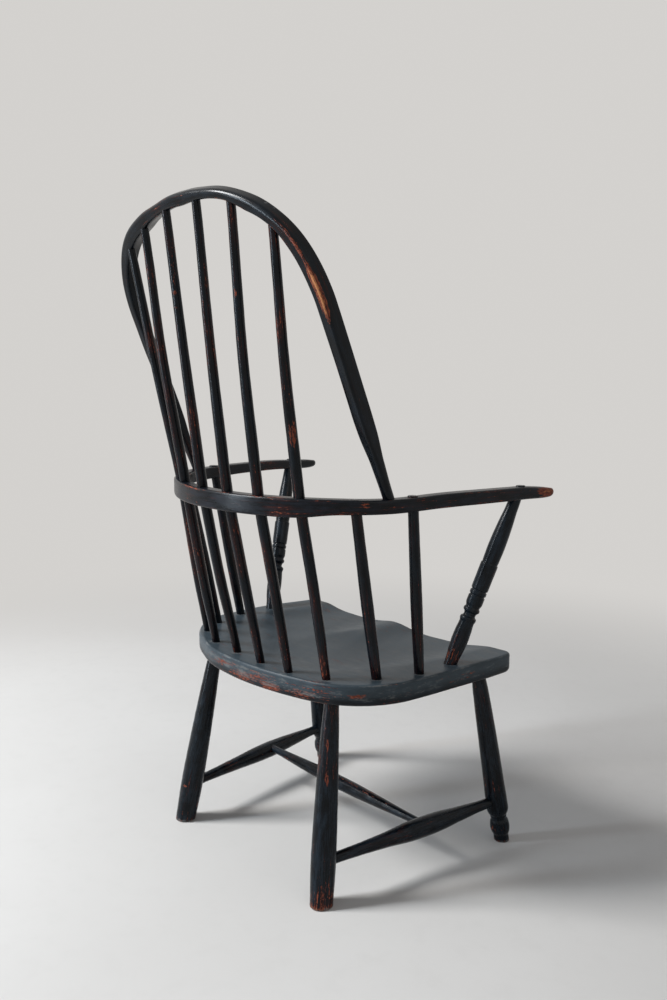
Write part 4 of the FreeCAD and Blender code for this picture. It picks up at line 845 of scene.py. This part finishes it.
def make_long_stick(number, seat_xy, arm_x, bow_x, bend_above, bend_below):
    """Shaved stick with five faint facets, in the seat, through the arm bow and up to the back bow."""
    low = vec(*seat_xy, SEAT_TOP)
    high = vec(arm_x, arm_behind(arm_x), ARM_TOP)
    top = bow_point(bow_x, bow_height_at(bow_x))
    z = np.arange(SEAT_TOP - 8, top[2], 3.0)
    from_arm = z - ARM_TOP
    is_above = z > ARM_TOP
    below, above = (high - low) / (high[2] - low[2]), (top - high) / (top[2] - high[2])
    soft = TURN_REACH * 0.1875 * np.clip(1 - (from_arm / TURN_REACH) ** 2, 0, None) ** 2
    axis = high + np.where(is_above[:, None], above, below) * from_arm[:, None]
    axis = axis + (above - below) * soft[:, None]
    part = np.where(is_above, from_arm / (top[2] - ARM_TOP), -from_arm / (ARM_TOP - SEAT_TOP))
    bend = np.where(is_above, bend_above, bend_below) * np.sin(np.clip(part, 0, 1) * math.pi) ** 2
    axis = axis + bend[:, None] * BEND_WAY
    axis[:, 0] += 0.3 * wave(30 + number, z, 420)
    across, other = cross_frames(axis, vec(0, 1, 0))
    arm_h, end_h = ARM_TOP - SEAT_TOP, top[2] - SEAT_TOP
    radius = monotone([(-10, 6.9), (12, 7.1), (100, 8.7), (arm_h - 42, 8.9), (arm_h + 42, 8.9),
                       (arm_h + 235, 7.8), (end_h - 20, 6.9), (end_h + 2, 6.8)], z - SEAT_TOP)
    theta = np.linspace(0, 2 * math.pi, LONG_STICK_AROUND, endpoint=False)
    facet = 1 + 0.012 * np.cos(5 * theta + wave(40 + number, z, 500)[:, None] * 3)
    r = radius[:, None] * facet + 0.14 * wave(50 + number, z, 70)[:, None]
    rings = axis[:, None, :] + r[..., None] * spokes(theta, across, other)
    along = np.repeat(z[:, None], LONG_STICK_AROUND, 1) + number * LONG_STICK_FLOW_APART
    node = f"long_stick_{number}"
    flow = round_flow(along, r, theta)
    skin(f"{node}_wood", node, rings, flow, NO_WEAR, stick_paint)


# How deep the short sticks and posts go into the seat's top, and the legs into its underside
SEAT_TENON, LEG_TENON = 10, 10


def make_short_stick(place, side):
    (seat_x, seat_y), arm_y, proud = SHORT_STICKS[place]
    if side == LEFT:
        seat_x, seat_y, arm_y = seat_x - 1.0, seat_y - 1.1, arm_y - 1.3
    low = vec(seat_x * side, seat_y, SEAT_TOP)
    arm_x = arm_beside(arm_y)[0] * side
    high = vec(arm_x, arm_y, ARM_TOP + arm_lift(arm_x, arm_y) + proud)
    start = low - unit(high - low) * SEAT_TENON
    length = np.linalg.norm(high - start)

    def profile(s):
        return monotone([(0, 8), (22, 8.3), (130, 9.7), (length - 34, 8.6), (length, 8.5)], s)

    seed = 3 + (place == "rear") + 2 * (side == LEFT)
    turned(f"short_stick_{place}_{SIDES[side]}", start, high, profile, stick_paint, seed,
           step=3, around=32, bend=0.6, level_end=high[2])


# Turned pieces. Knots are (distance from the lower or rear end, radius).

# How far a post stands above the arm bow
POST_PROUD = 2.0
POST_KNOTS = [(0, 10.9), (10, 11), (22, 11.2), (34, 12.4), (56, 13.6), (70, 13.2), (83, 12.2), (86, 12.1),
              (88, 12.7), (91, 13.6), (94, 13.2), (96, 10.9), (98.5, 9.5), (101, 9.6), (104, 11.2),
              (106, 13.2), (109, 13.5), (111.5, 12.2), (113, 11.4), (116, 12.2), (120, 13.5), (132, 13.6),
              (133, 12.5), (134, 11.9), (135, 12.5), (136, 13.7), (141, 13.7), (142, 12.6),
              (143, 12), (144, 12.6), (145, 13.8), (165, 14.1), (189, 14.2), (190.5, 13.9),
              (192, 12.7), (196, 13), (216, 13.7), (240, 13.3), (262, 12.1), (280, 10.8)]
POST_RUBBED = [(91, 3, (0.05, 0, 0.05)), (109, 3, (0.05, 0, 0.05)), (132, 2, (0, 0, 0.12)),
               (144, 2, (0, 0, 0.10)), (192, 3, (0.02, 0, 0.10)), (24, 16, (0.06, 0.01, 0))]


def make_arm_post(side):
    low = vec(POST_SEAT[0] * side, POST_SEAT[1], SEAT_TOP)
    arm_x, arm_y = arm_beside(POST_ARM_Y[side]) * vec(side, 1)
    high = vec(arm_x, arm_y, ARM_TOP + POST_PROUD + arm_lift(arm_x, arm_y))
    start = low - unit(high - low) * SEAT_TENON
    length = np.linalg.norm(high - start)
    knots = POST_KNOTS + [(length - 27, 9.9), (length, 7.3)]

    def profile(s):
        return monotone(knots, s) + 0.7 * smoothstep(10, 40, s) * smoothstep(length - 20, length - 70, s)

    turned(f"arm_post_{SIDES[side]}", start, high, profile, turned_paint, 6 + side,
           step=0.8, around=48, bend=0.3, level_end=high[2], rubbed=POST_RUBBED)


LEG_KNOTS = {
    "rear": [(0, 18.6), (8, 18.9), (70, 20.5), (180, 18.3)],
    "front": [(0, 13.2), (3, 13.6), (12, 13.5), (14, 13.7), (20, 16.1), (30, 17.5), (40, 16.4), (46, 14.0),
              (47.5, 13.8), (49, 14.6), (51, 14.7), (53, 14.9), (58, 17.6), (66, 19.4), (120, 18.4),
              (180, 17.2)]}
LEG_RUBBED = {"rear": [], "front": [(30, 8, (0.04, 0.01, 0)), (66, 8, (0.03, 0, 0))]}
FOOT_RUBBED = [(0, 6, (0.12, 0.22, 0.26)), (0, 45, (0.03, 0, 0.02))]
# How far the two left legs' heads stand from where the right ones' would mirror to
LEFT_HEAD_MOVED = {"rear": vec(-1.7, -2.0, 0), "front": vec(1.0, 1.1, 0)}


def leg_line(place, side):
    (x, y), (dx, dy) = LEGS[place]
    head = vec(x * side, y, SEAT_UNDER)
    if side == LEFT:
        head = head + LEFT_HEAD_MOVED[place]
    return vec((x + dx) * side, y + dy, 0), head


def make_leg(place, side):
    foot, head = leg_line(place, side)
    length = np.linalg.norm(head - foot)
    knots = LEG_KNOTS[place] + [(length - 40, 13.9), (length - 12, 12.3), (length + 10, 12.2)]

    def profile(s):
        return monotone(knots, s)

    seed = 11 + (place == "front") * 2 + (side == LEFT)
    top = head + unit(head - foot) * LEG_TENON
    turned(f"leg_{place}_{SIDES[side]}", foot, top, profile, turned_paint, seed,
           step=1.2, around=56, bend=0.8, level_start=0.0, rubbed=LEG_RUBBED[place] + FOOT_RUBBED)


# Distances up the legs at which a side stretcher enters them, and its radius at the swell
STRETCHER_REAR = {RIGHT: 69.5, LEFT: 71.0}
STRETCHER_FRONT = {RIGHT: 80.0, LEFT: 73.5}
STRETCHER_SWELL = {RIGHT: 17.2, LEFT: 15.9}
SWELL_AHEAD = 18
# Where the cross stretcher's ends meet the side stretchers, ahead of their middles and above their axes
CROSS_AHEAD = {RIGHT: 18, LEFT: 27}
CROSS_LIFT = {RIGHT: 3.0, LEFT: 5.0}
# How far the side stretchers reach past the legs' axes, and the cross one stays short of the side ones'
SIDE_PAST, CROSS_SHORT = 3, 4.5


def side_stretcher_line(side):
    """Both ends of a side stretcher and the way from the rear one to the front one."""
    rear_foot, rear_head = leg_line("rear", side)
    front_foot, front_head = leg_line("front", side)
    rear = rear_foot + unit(rear_head - rear_foot) * STRETCHER_REAR[side]
    front = front_foot + unit(front_head - front_foot) * STRETCHER_FRONT[side]
    way = unit(front - rear)
    return rear - way * SIDE_PAST, front + way * SIDE_PAST, way


def make_side_stretcher(side):
    start, end, _ = side_stretcher_line(side)
    length = np.linalg.norm(end - start)
    middle = length / 2 + SWELL_AHEAD
    swell = STRETCHER_SWELL[side]

    def profile(s):
        return monotone([(0, 8.8), (27.5, 8.9), (middle - 78, 12.6), (middle - 30, swell - 0.7),
                         (middle, swell), (middle + 30, swell - 0.7), (middle + 78, 12.6),
                         (length - 27.5, 8.9), (length, 8.8)], s)

    turned(f"stretcher_side_{SIDES[side]}", start, end, profile, turned_paint, 21 + side,
           step=2.5, around=40, bend=0.8)


def make_cross_stretcher():
    ends = []
    for side in (RIGHT, LEFT):
        start, end, way = side_stretcher_line(side)
        middle = np.linalg.norm(end - start) / 2
        ends.append(start + way * (middle + CROSS_AHEAD[side]) + UP * CROSS_LIFT[side])
    way = unit(ends[1] - ends[0])
    start, end = ends[0] + way * CROSS_SHORT, ends[1] - way * CROSS_SHORT
    length = np.linalg.norm(end - start)
    half = length / 2

    def profile(s):
        return monotone([(0, 6.8), (16, 6.9), (half - 105, 10.3), (half - 40, 12.3), (half, 12.7),
                         (half + 40, 12.3), (half + 105, 10.3), (length - 16, 6.9), (length, 6.8)], s)

    turned("stretcher_cross", start, end, profile, turned_paint, 27,
           step=2.5, around=40, bend=0.8)


make_seat()
make_arm_bow()
make_back_bow()
for stick in LONG_STICKS:
    make_long_stick(*stick)
for side in (RIGHT, LEFT):
    make_short_stick("front", side)
    make_short_stick("rear", side)
    make_arm_post(side)
    make_leg("rear", side)
    make_leg("front", side)
    make_side_stretcher(side)
make_cross_stretcher()


# Floor, light and camera. The floor's and the lamps' lengths are in metres.

BACKGROUND = rgb(0.655, 0.64, 0.62)
FLOOR_DARK, FLOOR_LIGHT = rgb(0.645, 0.62, 0.59), rgb(0.685, 0.66, 0.63)
FLOOR_MOTTLE = rgb(0.61, 0.585, 0.555)
FLOOR_ROUGHNESS, FLOOR_SPECULAR = 0.95, 0.05
FLOOR_HALF = 14.0
# Distances from the chair at which the floor begins to run into the background and is gone
FADE_FROM, FADE_TO = 0.8, 2.4
WORLD_COLOR, WORLD_STRENGTH = rgb(0.92, 0.95, 1.0), 0.29


def seen_directly(n):
    """1 for rays that show the background as it is: from the camera, in a reflection or through glass."""
    path = n.add("ShaderNodeLightPath").outputs
    return n.most(path["Is Camera Ray"], path["Is Glossy Ray"], path["Is Transmission Ray"])


def make_floor():
    """Plain pale floor that keeps the shadow near the chair and runs into the background further out."""
    material = bpy.data.materials.new("pale_floor")
    material.use_nodes = True
    n = Nodes(material.node_tree)
    position = n.position()
    soft = n.noise(position, 1.2, 3, 0.5)
    mottled = n.noise(position, 24, 5, 0.6)
    color = n.mix(n.ramp(soft, 0.3, 0.7), FLOOR_DARK, FLOOR_LIGHT)
    color = n.mix(n.ramp(mottled, 0.45, 0.75, 0.0, 0.25), color, FLOOR_MOTTLE)
    shader = n.add("ShaderNodeBsdfPrincipled", {"Base Color": color})
    shader.inputs["Roughness"].default_value = FLOOR_ROUGHNESS
    shader.inputs["Specular IOR Level"].default_value = FLOOR_SPECULAR
    plain = n.add("ShaderNodeEmission", {"Color": BACKGROUND})
    away = n.math("MULTIPLY", n.ramp(n.length(position), FADE_FROM, FADE_TO), seen_directly(n))
    blend = n.add("ShaderNodeMixShader", {0: away, 1: shader.outputs[0], 2: plain.outputs[0]})
    n.add("ShaderNodeOutputMaterial", {0: blend.outputs[0]})
    corners = [(x * FLOOR_HALF, y * FLOOR_HALF, 0) for x, y in ((-1, -1), (1, -1), (1, 1), (-1, 1))]
    mesh = bpy.data.meshes.new("floor")
    mesh.from_pydata(corners, [], [(0, 1, 2, 3)])
    mesh.materials.append(material)
    floor = bpy.data.objects.new("floor", mesh)
    bpy.context.scene.collection.objects.link(floor)


def make_world():
    """Soft cool light from all round, behind which the plain background shows."""
    world = bpy.data.worlds.new("studio")
    bpy.context.scene.world = world
    world.use_nodes = True
    n = Nodes(world.node_tree)
    light = n.add("ShaderNodeBackground", {"Color": WORLD_COLOR, "Strength": WORLD_STRENGTH})
    plain = n.add("ShaderNodeBackground", {"Color": BACKGROUND, "Strength": 1.0})
    blend = n.add("ShaderNodeMixShader", {0: seen_directly(n), 1: light.outputs[0], 2: plain.outputs[0]})
    n.add("ShaderNodeOutputWorld", {0: blend.outputs[0]})


def add_area(name, place, target, size, power, color):
    """Lamp of this width and height in metres and power in watts, turned towards the target."""
    light = bpy.data.lights.new(name, "AREA")
    light.shape = "RECTANGLE"
    light.size, light.size_y = size
    light.energy = power
    light.color = color
    lamp = bpy.data.objects.new(name, light)
    lamp.location = place
    lamp.rotation_euler = (Vector(target) - Vector(place)).to_track_quat("-Z", "Y").to_euler()
    bpy.context.scene.collection.objects.link(lamp)


make_floor()
make_world()
add_area("window", (1.75, 2.25, 2.9), (0, 0, 0.6), (0.95, 1.1), 150, (0.96, 0.98, 1.0))
add_area("door", (1.35, 2.55, 1.15), (0, 0, 0.75), (0.32, 2.0), 48, (0.76, 0.88, 1.0))
add_area("fill", (-3.0, 0.5, 2.2), (0, 0, 0.5), (2.5, 2.0), 10, (1.0, 0.97, 0.93))

# The photo's camera, solved from the chair's symmetry, in millimetres
CAMERA_PLACE = vec(-1291.7, 1090.7, 862.1)
YAW, PITCH, ROLL = math.radians(-41.50), math.radians(-8.01), math.radians(-0.4)
LENS, SENSOR_WIDTH = 34.73, 36.0

ahead = vec(math.cos(PITCH) * math.cos(YAW), math.cos(PITCH) * math.sin(YAW), math.sin(PITCH))
level_right = vec(math.sin(YAW), -math.cos(YAW), 0)
level_down = np.cross(ahead, level_right)
right = level_right * math.cos(ROLL) + level_down * math.sin(ROLL)
down = level_down * math.cos(ROLL) - level_right * math.sin(ROLL)
camera_data = bpy.data.cameras.new("camera")
camera_data.sensor_width = SENSOR_WIDTH
camera_data.lens = LENS
camera = bpy.data.objects.new("camera", camera_data)
bpy.context.scene.collection.objects.link(camera)
turn = Matrix((right, -down, -ahead)).transposed()
camera.matrix_world = Matrix.Translation(Vector(CAMERA_PLACE * MM)) @ turn.to_4x4()
bpy.context.scene.camera = camera
bpy.context.scene.view_settings.view_transform = "Standard"
